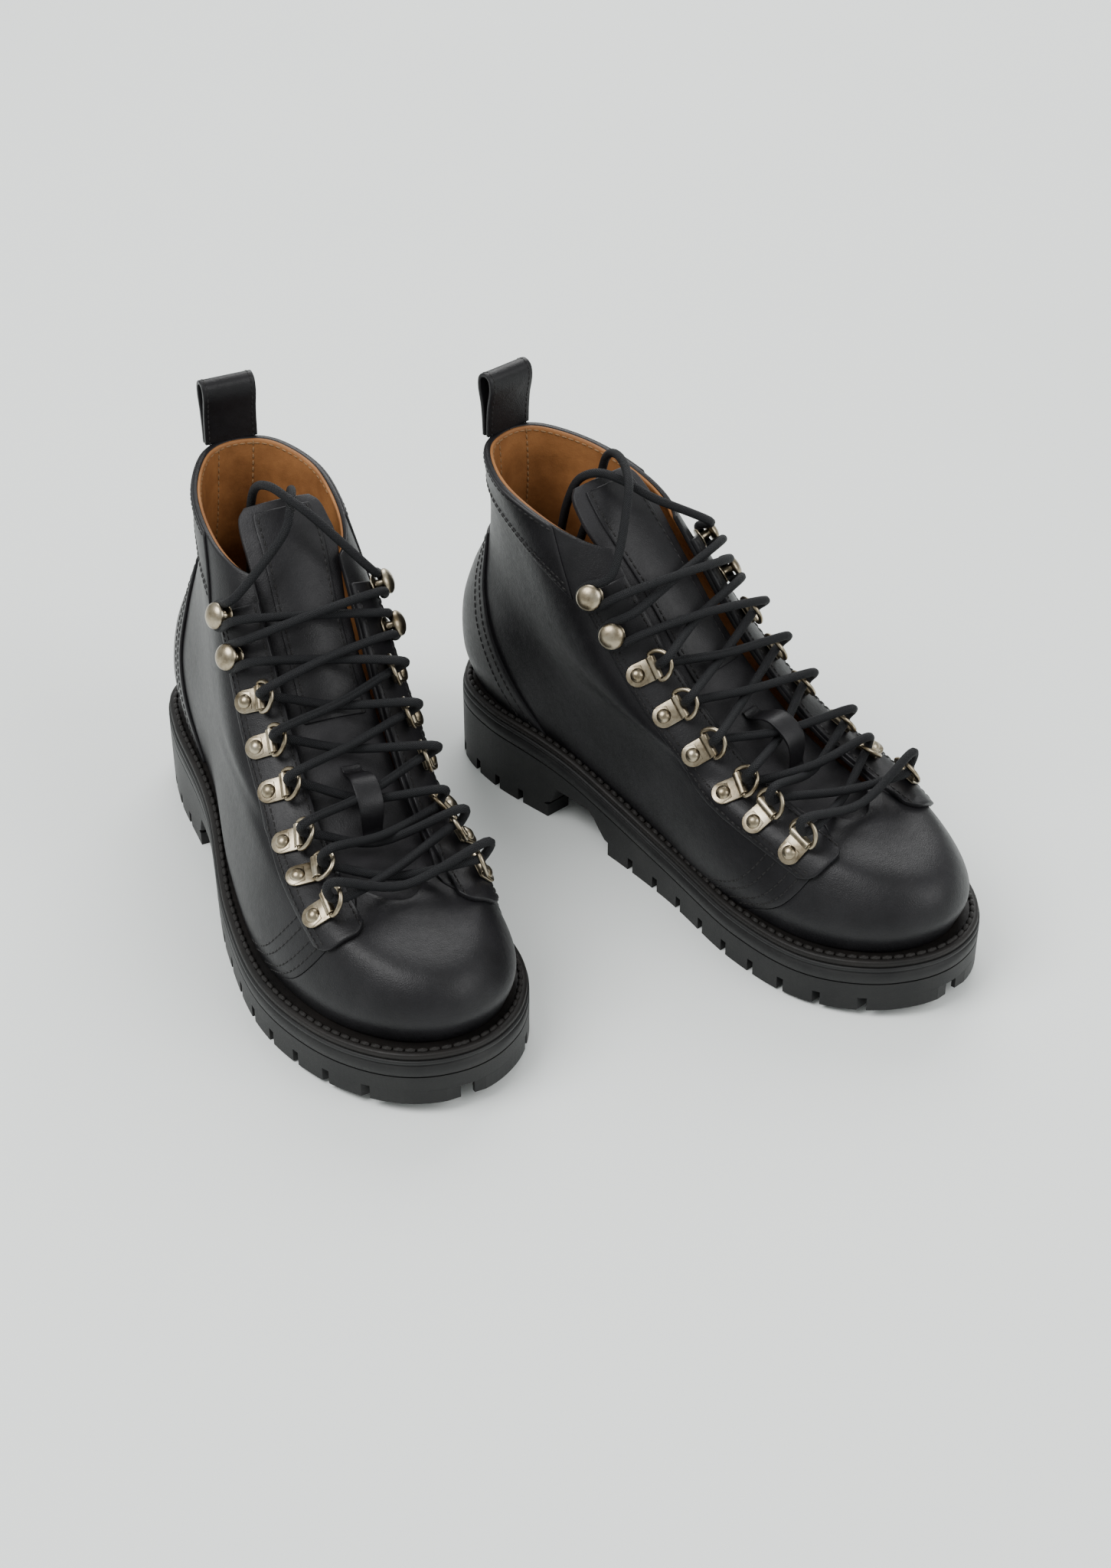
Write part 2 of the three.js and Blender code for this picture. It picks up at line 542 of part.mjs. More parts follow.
// The clips and hooks of one side, on the thin strip behind the facing that their rivets are clenched to.
function makeClips(side) {
  const distances = () => [RIVET_DISTANCE - STRIP.halfWide, RIVET_DISTANCE + STRIP.halfWide].map((d) => side * d);
  let body = solid(instepPanel(FACING_LEVELS.slice(1), distances, STRIP.low, STRIP.high));
  ROW_LEVEL.forEach((level, row) => {
    const frame = rivetFrame(level, side);
    body = body.add(row < RING_X.length ? clipSolid(frame) : hookSolid(frame));
  });
  return geometryFrom(body);
}

// The ring's own axes in its rivet's frame: the pivot, the way it reaches, and square to that.
function ringAxes(frame) {
  const tilt = radians(RING.tilt);
  const place = (x, y, z) => vec(x, y, z).applyMatrix4(frame);
  const pivot = place(CLIP.barrelOut, 0, CLIP.barrelUp);
  const way = (x, y, z) => place(CLIP.barrelOut + x, y, CLIP.barrelUp + z).sub(pivot);
  return { pivot, reach: way(Math.cos(tilt), 0, Math.sin(tilt)), up: way(-Math.sin(tilt), 0, Math.cos(tilt)), along: way(0, 1, 0) };
}

function makeRing(row, side) {
  const { pivot, reach, along } = ringAxes(rivetFrame(ROW_LEVEL[row], side));
  const w = RING.halfWide;
  const bend = range(-80, 80, 4).map(radians).map((a) => [1.6 + (RING.reach - 1.6) * Math.cos(a), w * Math.sin(a) / Math.sin(radians(80))]);
  const points = [[0, w - 1.2], [0, -(w - 1.2)], [0.7, -w + 0.2], ...bend, [0.7, w - 0.2]];
  return ringBar(points.map(([r, a]) => pivot.clone().addScaledVector(reach, r).addScaledVector(along, a)), RING.wire, 5);
}

// ---------- Lace ----------
function wrap(row, side) {
  const frame = rivetFrame(ROW_LEVEL[row], side);
  return (row < RING_X.length ? RING_WRAP : HOOK_WRAP).map((p) => vec(...p).applyMatrix4(frame));
}

// The middle of the throat between two rows, at a height over the leather's line.
function crossing(row, high) {
  return overInstep((ROW_LEVEL[row] + ROW_LEVEL[row + 1]) / 2, 0, high);
}

function halfLace(startSide) {
  const points = [];
  let side = startSide;
  ROW_LEVEL.forEach((_, row) => {
    const turn = wrap(row, side);
    points.push(...(row === 0 ? turn.reverse() : turn));
    if (row === ROW_LEVEL.length - 1) return;
    points.push(crossing(row, side < 0 ? LACE.overHigh : LACE.underHigh));
    side = -side;
  });
  const middle = LEVELS[TOP].mid[1] - 1;
  const lift = side < 0 ? 0 : LACE_END_LIFT;
  LACE_END.forEach(([x, across, z], i) => points.push(vec(x, middle - side * across, z + (i < 4 ? lift : 0))));
  return points;
}

// A curve whose even steps fall on the points it was given.
class Route extends THREE.CatmullRomCurve3 {
  getUtoTmapping(u) {
    return u;
  }
}

function makeLace() {
  const barMiddle = overInstep(ROW_LEVEL[0], 0, LACE.overHigh);
  const points = [...halfLace(-1).reverse(), barMiddle, ...halfLace(1)];
  const section = new THREE.Shape(count(LACE.sides).map((k) => {
    const angle = 2 * Math.PI * k / LACE.sides;
    return new THREE.Vector2(LACE.r * Math.cos(angle), LACE.r * Math.sin(angle));
  }));
  const extrudePath = new Route(points);
  return new THREE.ExtrudeGeometry(section, { steps: points.length - 1, extrudePath, bevelEnabled: false });
}

// ---------- The pair ----------
const finish = (name, color, roughness, metalness = 0) => new THREE.MeshStandardMaterial({ name, color, roughness, metalness });
const BLACK_LEATHER = finish('black_leather', 0x17171a, 0.42);
const TAN_LEATHER = finish('tan_leather', 0x8f4f22, 0.7);
const BLACK_RUBBER = finish('black_rubber', 0x121213, 0.75);
const WELT_LEATHER = finish('welt_leather', 0x101011, 0.55);
const INSOLE_LEATHER = finish('insole_leather', 0x8a5a34, 0.75);
const BLACK_CORD = finish('black_cord', 0x131418, 0.85);
const AGED_NICKEL = finish('aged_nickel', 0x9a8c74, 0.35, 1);

const pieces = [
  ['outsole', makeOutsole(), BLACK_RUBBER],
  ['midsole', makeMidsole(), BLACK_RUBBER],
  ['welt', makeWelt(), WELT_LEATHER],
  ['insole', makeInsole(), INSOLE_LEATHER],
  ['vamp', makeVamp(), BLACK_LEATHER],
  ['quarter_lateral', makeQuarter(-1), BLACK_LEATHER],
  ['quarter_medial', makeQuarter(1), BLACK_LEATHER],
  ['heel_counter', makeHeelCounter(), BLACK_LEATHER],
  ['collar', makeCollar(), BLACK_LEATHER],
  ['lining', makeLining(), TAN_LEATHER],
  ['tongue', makeTongue(), BLACK_LEATHER],
  ['lace_keeper', makeKeeper(), BLACK_LEATHER],
  ['pull_tab', makePullTab(), BLACK_LEATHER],
  ['lace', makeLace(), BLACK_CORD],
  ['facing_lateral', makeFacing(-1), BLACK_LEATHER],
  ['facing_medial', makeFacing(1), BLACK_LEATHER],
  ['clips_lateral', makeClips(-1), AGED_NICKEL],
  ['clips_medial', makeClips(1), AGED_NICKEL],
];
for (const [sideName, side] of [['lateral', -1], ['medial', 1]]) {
  RING_X.forEach((_, row) => pieces.push([`d_ring_${sideName}_${row + 1}`, makeRing(row, side), AGED_NICKEL]));
}

function makeBoot(name, place, mirrored) {
  const boot = new THREE.Group();
  for (const [piece, geometry, material] of pieces) {
    const mesh = new THREE.Mesh(geometry, material);
    mesh.name = `${name}_${piece}`;
    boot.add(mesh);
  }
  boot.position.set(place.x, place.y, 0);
  boot.rotation.z = radians(place.turn);
  if (mirrored) boot.scale.y = -1;
  return boot;
}

const pair = new THREE.Group();
pair.add(makeBoot('right', RIGHT_BOOT, false), makeBoot('left', LEFT_BOOT, true));

export default pair;
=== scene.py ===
"""A pair of black leather lace-to-toe mountaineering boots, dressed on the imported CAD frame.

Each boot is worked out in its own frame, in millimetres: x from the heel's back to the toe, y to the inner
side and z up. place() puts it into the shared frame, in metres, and mirrors the left boot.
"""
import math
import bmesh
import bpy
import numpy as np
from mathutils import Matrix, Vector


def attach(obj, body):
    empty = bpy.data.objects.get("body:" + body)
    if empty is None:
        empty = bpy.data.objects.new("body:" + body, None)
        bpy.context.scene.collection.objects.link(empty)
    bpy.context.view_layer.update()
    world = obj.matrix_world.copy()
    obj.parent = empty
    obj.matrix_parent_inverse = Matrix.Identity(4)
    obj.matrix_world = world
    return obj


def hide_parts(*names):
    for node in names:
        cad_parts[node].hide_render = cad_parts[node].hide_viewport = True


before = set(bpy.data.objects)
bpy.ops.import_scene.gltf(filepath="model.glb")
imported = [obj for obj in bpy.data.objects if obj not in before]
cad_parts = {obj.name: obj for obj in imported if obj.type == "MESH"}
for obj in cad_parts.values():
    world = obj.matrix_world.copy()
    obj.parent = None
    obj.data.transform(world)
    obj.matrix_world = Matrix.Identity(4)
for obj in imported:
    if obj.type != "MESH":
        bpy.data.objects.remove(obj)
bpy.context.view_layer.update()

# ---------- Driving dimensions, as in the CAD ----------
# Each boot's x and y, its turn in degrees, and -1 where it is mirrored.
BOOTS = {"right": (-164.93, 128.287, -64.2, 1), "left": (-37.93, 142.687, -47.3, -1)}
SOLE_BACK, SOLE_FRONT = 5, 300
TOE_SPRING, SPRING_START = 6, 215
FEATHER_FRONT, FEATHER_RISE, RISE_END, RISE_START = 25, 16, 60, 185
WELT_THICK = 3
MIDSOLE_THICK = 8
LUG_HIGH = 5.5
SHANK_LIFT, HEEL_FRONT, SHANK_FRONT = 11, 88, 128
LEATHER = 1.7
RIVET_DISTANCE = 35.5
FACING_IN, FACING_OUT, FACING_TOP = 20.5, 41.5, 2.6
RING_X = (237, 217, 198.6, 180, 163, 147)
HOOK_X = (133, 120.5)
BARREL_OUT, BARREL_UP, BARREL_R = 8.2, 2.8, 2.1
CLIP_HALF = 5
RING_REACH, RING_HALF, RING_WIRE, RING_TILT = 8.6, 6.3, 1.0, 24
TONGUE_OFF, TONGUE_THICK, TONGUE_HALF = -5.2, 2.2, 22
THROAT = 3.3
LACE_R = 1.9
OVER_HIGH, UNDER_HIGH = 5.6, 0.9
RING_WRAP = ((16.9, -1.4, 1.6), (11.4, 0, 6.4), (17.4, 1.4, 11.2))
HOOK_WRAP = ((14, -5, 5), (0, -5, 3.2), (-4.3, -2.6, 3.2), (-4.3, 2.6, 3.2), (0, 5, 3.2), (14, 5, 5))
LACE_END = ((118, -8, 166), (109, 0, 173), (98, 5, 175), (88, 8, 169),
            (82, 9, 156), (77, 8, 140), (72, 7, 124))
LACE_END_LIFT = 5
TAB_BASE = (33.4, 9, 172.4)
TAB_HALF, TAB_HIGH, TAB_BULGE, TAB_FOOT, TAB_STRAP = 12, 28, 4.6, 2.1, 1.8

# The upper's levels, from the welt to the top line: the front and back points (x, z), the midline's y at
# both, and the half widths from front to back on the outer and the inner side.
LEVELS = (
    ((291, 31), (14, 41), (0, 1), (24, 43, 51, 45, 33, 27.5, 18), (24, 39, 40, 31, 28, 27.5, 18)),
    ((295, 45), (10, 58), (0, 2), (25, 44, 52, 46, 34, 30.5, 21), (25, 40, 41, 32, 30, 30, 21)),
    ((285, 58), (10, 80), (0, 3), (20, 36, 44, 41, 34.5, 29.5, 19), (18, 31, 37, 33, 31, 30, 20)),
    ((256, 64), (17, 100), (-1, 5), (13, 28, 39, 39.5, 33.5, 26.5, 16), (11, 23, 35, 35, 31, 27.5, 17)),
    ((213, 75), (27, 119), (0, 6), (14, 30, 39.5, 37.5, 31, 23.5, 14), (14, 30, 39, 38, 32, 25, 15)),
    ((172, 102), (32, 138), (3, 7), (14, 28, 36, 34, 28, 21.5, 13), (14, 28, 37, 36, 30.5, 24, 14.5)),
    ((145, 130), (34, 156), (5, 8), (13, 26, 31, 31, 27, 21, 12.5), (13, 26, 33, 33.5, 30, 24, 14.5)),
    ((127, 150), (34.5, 171), (6, 9), (12, 23, 28.5, 29.5, 27, 20.5, 12), (12, 23, 29, 31.5, 30.5, 24, 14.5)),
)
AROUND = 16  # stations round a level: 0 is the front, 4 the outer side, 8 the back and 12 the inner side
BACK = AROUND // 2
TOP = len(LEVELS) - 1
OUTER, INNER = -1, 1
SIDES = (("lateral", OUTER), ("medial", INNER))

# ---------- The looks' own dimensions: heights over the surface of the upper, and finer edges ----------
QUARTER_OUT = 0.35
COUNTER_LOW, COUNTER_OUT = 0.1, 1.7
COLLAR_LOW, COLLAR_OUT = 0.02, 1.25
COLLAR_TOP, COLLAR_FRONT_LEVEL = 6.98, 6.5  # the level of its top edge, and where its front ends are measured
LINING_OUT, LINING_IN = -1.75, -2.9
LINING_BACK = 0.3  # stations from the quarter's front edge to the lining's
FACING_LOW = 0.05
FACING_ROUND = 0.16  # levels that the facing's front corners are cut back by
BARREL_WALL, BARREL_RIM = 0.75, 0.4
LACE_SIDES = 16
TAB_SUNK = 2.2  # the pull tab's foot reaches this far down into the collar

# ---------- Camera ----------
CAMERA_DISTANCE, CAMERA_ELEVATION = 1.22, 35.47
LOOK_AT = Vector((0, 0.0803, 0))
LENS, SENSOR = 59.77, 36


# ---------- Surface of the upper ----------
def smooth(x, low, high):
    u = np.clip((np.asarray(x, float) - low) / (high - low), 0, 1)
    return u * u * (3 - 2 * u)


def toe_spring(x):
    share = (np.asarray(x, float) - SPRING_START) / (SOLE_FRONT - SPRING_START)
    return TOE_SPRING * np.clip(share, 0, 1) ** 2


def feather_height(x):
    return FEATHER_FRONT + FEATHER_RISE * (1 - smooth(x, RISE_END, RISE_START)) + toe_spring(x)


def control_points():
    """The grid that the surface runs through, with one more level below and above."""
    grid = np.zeros((TOP + 1, AROUND, 3))
    for i, (front, back, mid, outer, inner) in enumerate(LEVELS):
        for k in range(AROUND):
            station = min(k, AROUND - k)
            share = (1 - math.cos(math.pi * station / 8)) / 2
            x = front[0] + (back[0] - front[0]) * share
            z = front[1] + (back[1] - front[1]) * share
            if i < 2:
                rise = (front[1] - LEVELS[0][0][1], back[1] - LEVELS[0][1][1])
                z = float(feather_height(x)) + i * (rise[0] + (rise[1] - rise[0]) * share)
            half = 0
            if station % 8:
                half = -outer[station - 1] if k < 8 else inner[station - 1]
            grid[i, k] = (x, mid[0] + (mid[1] - mid[0]) * share + half, z)
    below = 2 * grid[:1] - grid[1:2]
    above = 2 * grid[-1:] - grid[-2:-1]
    return np.concatenate([below, grid, above])


CONTROL = control_points()


def spline_weights(u):
    u2, u3 = u * u, u * u * u
    return 0.5 * np.stack([-u + 2 * u2 - u3, 2 - 5 * u2 + 3 * u3, u + 4 * u2 - 3 * u3, -u2 + u3], -1)


def upper(t, phi):
    """Points on the upper's outer surface, at level t and station phi."""
    t, phi = np.broadcast_arrays(np.asarray(t, float), np.asarray(phi, float))
    i = np.clip(np.floor(t), 0, TOP - 1).astype(int)
    j = np.floor(phi).astype(int)
    up, along = spline_weights(t - i), spline_weights(phi - j)
    point = np.zeros(t.shape + (3,))
    for a in range(4):
        row = np.clip(i + a, 0, TOP + 2)
        for b in range(4):
            point += (up[..., a] * along[..., b])[..., None] * CONTROL[row, (j + b - 1) % AROUND]
    return point


def unit(v):
    return v / np.maximum(np.linalg.norm(v, axis=-1, keepdims=True), 1e-9)


def slopes(t, phi, step=0.02):
    """The directions up and round the surface, and its outward normal."""
    up = (upper(t + step, phi) - upper(t - step, phi)) / (2 * step)
    along = (upper(t, phi + step) - upper(t, phi - step)) / (2 * step)
    return up, along, unit(np.cross(up, along))


def offset_upper(t, phi, off):
    t, phi, off = np.broadcast_arrays(np.asarray(t, float), np.asarray(phi, float), np.asarray(off, float))
    return upper(t, phi) + slopes(t, phi)[2] * off[..., None]


def across_instep(t, distance, steps=18):
    """Walks over the leather from the midline, square to the instep, and gives (t, phi) where it ends."""
    t, distance = np.broadcast_arrays(np.asarray(t, float), np.asarray(distance, float))
    phi = np.zeros(t.shape)
    along = unit(slopes(t, phi)[0])
    for _ in range(steps):
        up, around, normal = slopes(t, phi)
        way = unit(np.cross(along, normal)) * (distance / steps)[..., None]
        a, b, c = (up * up).sum(-1), (up * around).sum(-1), (around * around).sum(-1)
        p, q = (way * up).sum(-1), (way * around).sum(-1)
        det = a * c - b * b
        t = t + (p * c - q * b) / det
        phi = phi + (q * a - p * b) / det
    return t, phi


def over_instep(t, distance, off):
    return offset_upper(*across_instep(t, distance), off)


def level_for(x):
    levels = np.linspace(2, TOP, 201)
    return float(np.interp(-x, -over_instep(levels, RIVET_DISTANCE, 0)[:, 0], levels))


ROW_LEVEL = [level_for(x) for x in RING_X + HOOK_X]


def station_at(t, side, distance):
    """The station where the level's line is that far from its midline."""
    phis = np.linspace(0, 4, 81)
    line = upper(np.full(81, t), phis if side == OUTER else AROUND - phis)
    return float(np.interp(distance, np.abs(line[:, 1] - line[0, 1]), phis))


def sided(side, phi):
    return phi if side == OUTER else AROUND - phi


def vamp_edge(t):
    return 2.75 - 0.44 * t


def quarter_front(t, side):
    """The station of the quarter's front edge: the vamp's edge below the throat, the opening above it."""
    opened = station_at(max(t, THROAT), side, FACING_IN - 1)
    if t > THROAT:
        return opened
    share = float(smooth(t, THROAT - 0.5, THROAT))
    return vamp_edge(t) * (1 - share) + opened * share


# ---------- Mesh helpers: a shape is (points, faces) ----------
def grid_faces(rows, columns, around=False, start=0):
    faces = []
    last = columns if around else columns - 1
    for r in range(rows - 1):
        for c in range(last):
            d = (c + 1) % columns
            a, b = start + r * columns, start + (r + 1) * columns
            faces.append((a + c, a + d, b + d, b + c))
    return faces


def skin(outer, inner):
    """A closed shell between two grids of points."""
    rows, columns = outer.shape[:2]
    count = rows * columns
    faces = grid_faces(rows, columns) + [f[::-1] for f in grid_faces(rows, columns, start=count)]
    rim = list(range(columns))
    rim += [r * columns + columns - 1 for r in range(1, rows)]
    rim += [(rows - 1) * columns + c for c in range(columns - 2, -1, -1)]
    rim += [r * columns for r in range(rows - 2, 0, -1)]
    for a, b in zip(rim, rim[1:] + rim[:1]):
        faces.append((b, a, a + count, b + count))
    return np.concatenate([outer.reshape(-1, 3), inner.reshape(-1, 3)]), faces


def join(shapes):
    points, faces, start = [], [], 0
    for p, f in shapes:
        points.append(np.asarray(p, float))
        faces += [tuple(i + start for i in face) for face in f]
        start += len(p)
    return np.concatenate(points), faces


def catmull(points, steps, closed=False):
    """A smooth line through points, with that many steps between each two."""
    p = np.asarray(points, float)
    before, after = (p[-1:], p[:2]) if closed else (2 * p[:1] - p[1:2], 2 * p[-1:] - p[-2:-1])
    padded = np.concatenate([before, p, after])
    weights = spline_weights(np.arange(steps) / steps)
    line = [weights @ padded[i:i + 4].reshape(4, -1) for i in range(len(padded) - 3)]
    line = np.concatenate(line).reshape((-1,) + p.shape[1:])
    return line if closed else np.concatenate([line, p[-1:]])


def tube(line, radius, sides, closed=False):
    """A round wire along a line."""
    line = np.asarray(line, float)
    if closed:
        along = unit(np.roll(line, -1, 0) - np.roll(line, 1, 0))
    else:
        along = unit(np.gradient(line, axis=0))
    across = np.array([0, 0, 1.0]) if abs(along[0][2]) < 0.9 else np.array([1.0, 0, 0])
    angles = np.linspace(0, 2 * math.pi, sides, endpoint=False)
    rings = []
    for point, way in zip(line, along):
        across = across - way * across.dot(way)
        across = across / np.linalg.norm(across)
        side = np.cross(way, across)
        rings.append(point + radius * (np.outer(np.cos(angles), across) + np.outer(np.sin(angles), side)))
    points = np.concatenate(rings)
    faces = grid_faces(len(line) + (1 if closed else 0), sides, around=True)
    if closed:
        faces = [tuple(i % len(points) for i in f) for f in faces]
    else:
        faces += [tuple(range(sides))[::-1], tuple(range(len(points) - sides, len(points)))]
    return points, faces


def closed_ends(rings, sides):
    """Faces between rings of points, with a cap on the first and the last."""
    count = rings * sides
    caps = [tuple(range(sides))[::-1], tuple(range(count - sides, count))]
    return grid_faces(rings, sides, around=True) + caps


def lathe(profile, segments):
    """Turns (radius, height) points round Z, with a cap on the first and the last."""
    angles = np.linspace(0, 2 * math.pi, segments, endpoint=False)
    rings = [np.stack([r * np.cos(angles), r * np.sin(angles), np.full(segments, h)], -1) for r, h in profile]
    return np.concatenate(rings), closed_ends(len(profile), segments)


def prism(outline, low, high):
    n = len(outline)
    flat = np.asarray(outline, float)
    points = [np.column_stack([flat, np.full(n, z)]) for z in (low, high)]
    faces = [tuple(range(n))[::-1], tuple(range(n, 2 * n))]
    faces += [(i, (i + 1) % n, n + (i + 1) % n, n + i) for i in range(n)]
    return np.concatenate(points), faces


def bead(length, radius, sides=8):
    """One stitch: a rounded bar along X."""
    profile = [(-0.5, 0.05), (-0.42, 0.75), (0, 1), (0.42, 0.75), (0.5, 0.05)]
    angles = np.linspace(0, 2 * math.pi, sides, endpoint=False)
    points = []
    for share, width in profile:
        round_x = np.stack([radius * width * np.cos(angles), radius * width * np.sin(angles)], -1)
        points.append(np.column_stack([np.full(sides, length * share), round_x]))
    return np.concatenate(points), closed_ends(len(profile), sides)


def distances_along(line):
    """How far along the line each of its points lies."""
    return np.concatenate([[0], np.cumsum(np.linalg.norm(np.diff(line, axis=0), axis=1))])


def value_at(at, walked, values):
    return np.array([np.interp(at, walked, values[:, k]) for k in range(3)])


def stitches(line, normals, pitch=3.2, length=2.6, radius=0.42, sink=0.1):
    """Separate stitches laid along a line on the leather."""
    line, normals = np.asarray(line, float), np.asarray(normals, float)
    walked = distances_along(line)
    shapes = []
    points, faces = bead(length, radius)
    for at in np.arange(pitch / 2, walked[-1], pitch):
        here = value_at(at, walked, line)
        up = unit(value_at(at, walked, normals))
        way = unit(value_at(at + 0.5, walked, line) - value_at(at - 0.5, walked, line))
        side = unit(np.cross(up, way))
        up = np.cross(way, side)
        shapes.append((here - up * sink + points @ np.stack([way, side, up]), faces))
    return join(shapes)


def seam(ts, phis, off, **kind):
    """Stitches along a line of levels and stations."""
    ts, phis = np.broadcast_arrays(np.asarray(ts, float), np.asarray(phis, float))
    return stitches(offset_upper(ts, phis, off), slopes(ts, phis)[2], **kind)


def instep_seam(ts, distances, off, **kind):
    t, phi = across_instep(ts, distances)
    return seam(t, phi, off, **kind)


def place(points, boot):
    """From a boot's own frame, in millimetres, into the shared frame, in metres."""
    x, y, turn, mirror = BOOTS[boot]
    a = math.radians(turn)
    p = np.asarray(points, float).reshape(-1, 3)
    across = p[:, 1] * mirror
    world = np.stack([x + p[:, 0] * math.cos(a) - across * math.sin(a),
                      y + p[:, 0] * math.sin(a) + across * math.cos(a), p[:, 2]], -1)
    return world / 1000


def face_out(mesh):
    """Turns the faces of each closed body outwards."""
    shape = bmesh.new()
    shape.from_mesh(mesh)
    bmesh.ops.recalc_face_normals(shape, faces=shape.faces[:])
    shape.to_mesh(mesh)
    shape.free()
    mesh.update()


def add(boot, name, shape, material, body=None, stands_for=(), bevel=0.0, flat_shaded=False,
        uv=None):
    """Makes one piece of one boot, on its body, in place of the CAD nodes that it stands for."""
    points, faces = shape
    mesh = bpy.data.meshes.new(f"{boot}_{name}")
    mesh.from_pydata(place(points, boot).tolist(), [], faces)
    face_out(mesh)
    if uv is not None:
        layer = mesh.uv_layers.new(name="lay")
        index = np.zeros(len(mesh.loops), int)
        mesh.loops.foreach_get("vertex_index", index)
        layer.data.foreach_set("uv", np.asarray(uv, float)[index].ravel())
    mesh.materials.append(material)
    if not flat_shaded:
        mesh.polygons.foreach_set("use_smooth", [True] * len(mesh.polygons))
    piece = bpy.data.objects.new(f"{boot}_{name}_look", mesh)
    bpy.context.scene.collection.objects.link(piece)
    if bevel:
        edge = piece.modifiers.new("edge", "BEVEL")
        edge.width = bevel / 1000
        edge.segments = 2
        edge.limit_method = "ANGLE"
        edge.angle_limit = math.radians(50)
    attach(piece, body or f"{boot}_boot")
    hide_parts(*[f"{boot}_{n}" for n in stands_for])


# ---------- Materials ----------
def new_material(name):
    material = bpy.data.materials.new(name)
    material.use_nodes = True
    nodes, links = material.node_tree.nodes, material.node_tree.links
    shader = nodes["Principled BSDF"]
    place_at = nodes.new("ShaderNodeTexCoord").outputs["Object"]
    return material, nodes, links, shader, place_at


def noise(nodes, links, where, scale, detail=4, rough=0.6):
    node = nodes.new("ShaderNodeTexNoise")
    node.inputs["Scale"].default_value = scale
    node.inputs["Detail"].default_value = detail
    node.inputs["Roughness"].default_value = rough
    links.new(where, node.inputs["Vector"])
    return node.outputs["Fac"]


def ramp(nodes, links, value, stops):
    node = nodes.new("ShaderNodeValToRGB")
    for element, (at, color) in zip(node.color_ramp.elements, (stops[0], stops[-1])):
        element.position = at
        element.color = (*color, 1)
    for at, color in stops[1:-1]:
        node.color_ramp.elements.new(at).color = (*color, 1)
    links.new(value, node.inputs["Fac"])
    return node.outputs["Color"]


def spread(nodes, links, value, low, high):
    node = nodes.new("ShaderNodeMapRange")
    node.inputs["To Min"].default_value = low
    node.inputs["To Max"].default_value = high
    links.new(value, node.inputs["Value"])
    return node.outputs["Result"]


def bump(nodes, links, height, strength, distance, before=None):
    node = nodes.new("ShaderNodeBump")
    node.inputs["Strength"].default_value = strength
    node.inputs["Distance"].default_value = distance
    links.new(height, node.inputs["Height"])
    if before is not None:
        links.new(before, node.inputs["Normal"])
    return node.outputs["Normal"]


def leather(name, dark, light, rough=(0.34, 0.5), pebble=0.22, crease=0.35):
    """Grain as tight, warped cells, with fine roughness, broad creases and an uneven tone."""
    material, nodes, links, shader, where = new_material(name)
    cells = nodes.new("ShaderNodeTexVoronoi")
    cells.feature = "DISTANCE_TO_EDGE"
    cells.inputs["Scale"].default_value = 1150
    warp = nodes.new("ShaderNodeVectorMath")
    warp.operation = "ADD"
    links.new(where, warp.inputs[0])
    tint = nodes.new("ShaderNodeTexNoise")
    tint.inputs["Scale"].default_value = 260
    links.new(where, tint.inputs["Vector"])
    small = nodes.new("ShaderNodeVectorMath")
    small.operation = "SCALE"
    small.inputs["Scale"].default_value = 0.0014
    links.new(tint.outputs["Color"], small.inputs[0])
    links.new(small.outputs["Vector"], warp.inputs[1])
    links.new(warp.outputs["Vector"], cells.inputs["Vector"])
    broad = noise(nodes, links, where, 48, 5, 0.62)
    fine = noise(nodes, links, where, 420, 4, 0.6)
    links.new(ramp(nodes, links, broad, [(0.3, dark), (0.72, light)]), shader.inputs["Base Color"])
    links.new(spread(nodes, links, fine, *rough), shader.inputs["Roughness"])
    normal = bump(nodes, links, broad, crease, 0.0012)
    normal = bump(nodes, links, cells.outputs["Distance"], pebble, 0.0005, normal)
    normal = bump(nodes, links, fine, 0.25, 0.00018, normal)
    links.new(normal, shader.inputs["Normal"])
    shader.inputs["Specular IOR Level"].default_value = 0.24
    return material


def rubber(name):
    material, nodes, links, shader, where = new_material(name)
    broad = noise(nodes, links, where, 60, 5)
    fine = noise(nodes, links, where, 1500, 3)
    links.new(ramp(nodes, links, broad, [(0.3, (0.006, 0.006, 0.0064)), (0.75, (0.013, 0.013, 0.0128))]),
              shader.inputs["Base Color"])
    links.new(spread(nodes, links, fine, 0.42, 0.62), shader.inputs["Roughness"])
    normal = bump(nodes, links, fine, 0.3, 0.0002)
    links.new(bump(nodes, links, broad, 0.15, 0.0008, normal), shader.inputs["Normal"])
    shader.inputs["Specular IOR Level"].default_value = 0.28
    return material


def metal(name):
    """Nickel plate, warm, with brass showing in patches and a finely uneven surface."""
    material, nodes, links, shader, where = new_material(name)
    patches = noise(nodes, links, where, 130, 5, 0.65)
    fine = noise(nodes, links, where, 900, 5, 0.7)
    stops = [(0.32, (0.13, 0.1, 0.06)), (0.52, (0.33, 0.28, 0.2)), (0.7, (0.43, 0.385, 0.3))]
    color = ramp(nodes, links, patches, stops)
    links.new(color, shader.inputs["Base Color"])
    links.new(spread(nodes, links, fine, 0.2, 0.42), shader.inputs["Roughness"])
    links.new(bump(nodes, links, fine, 0.15, 0.00012), shader.inputs["Normal"])
    shader.inputs["Metallic"].default_value = 1
    return material


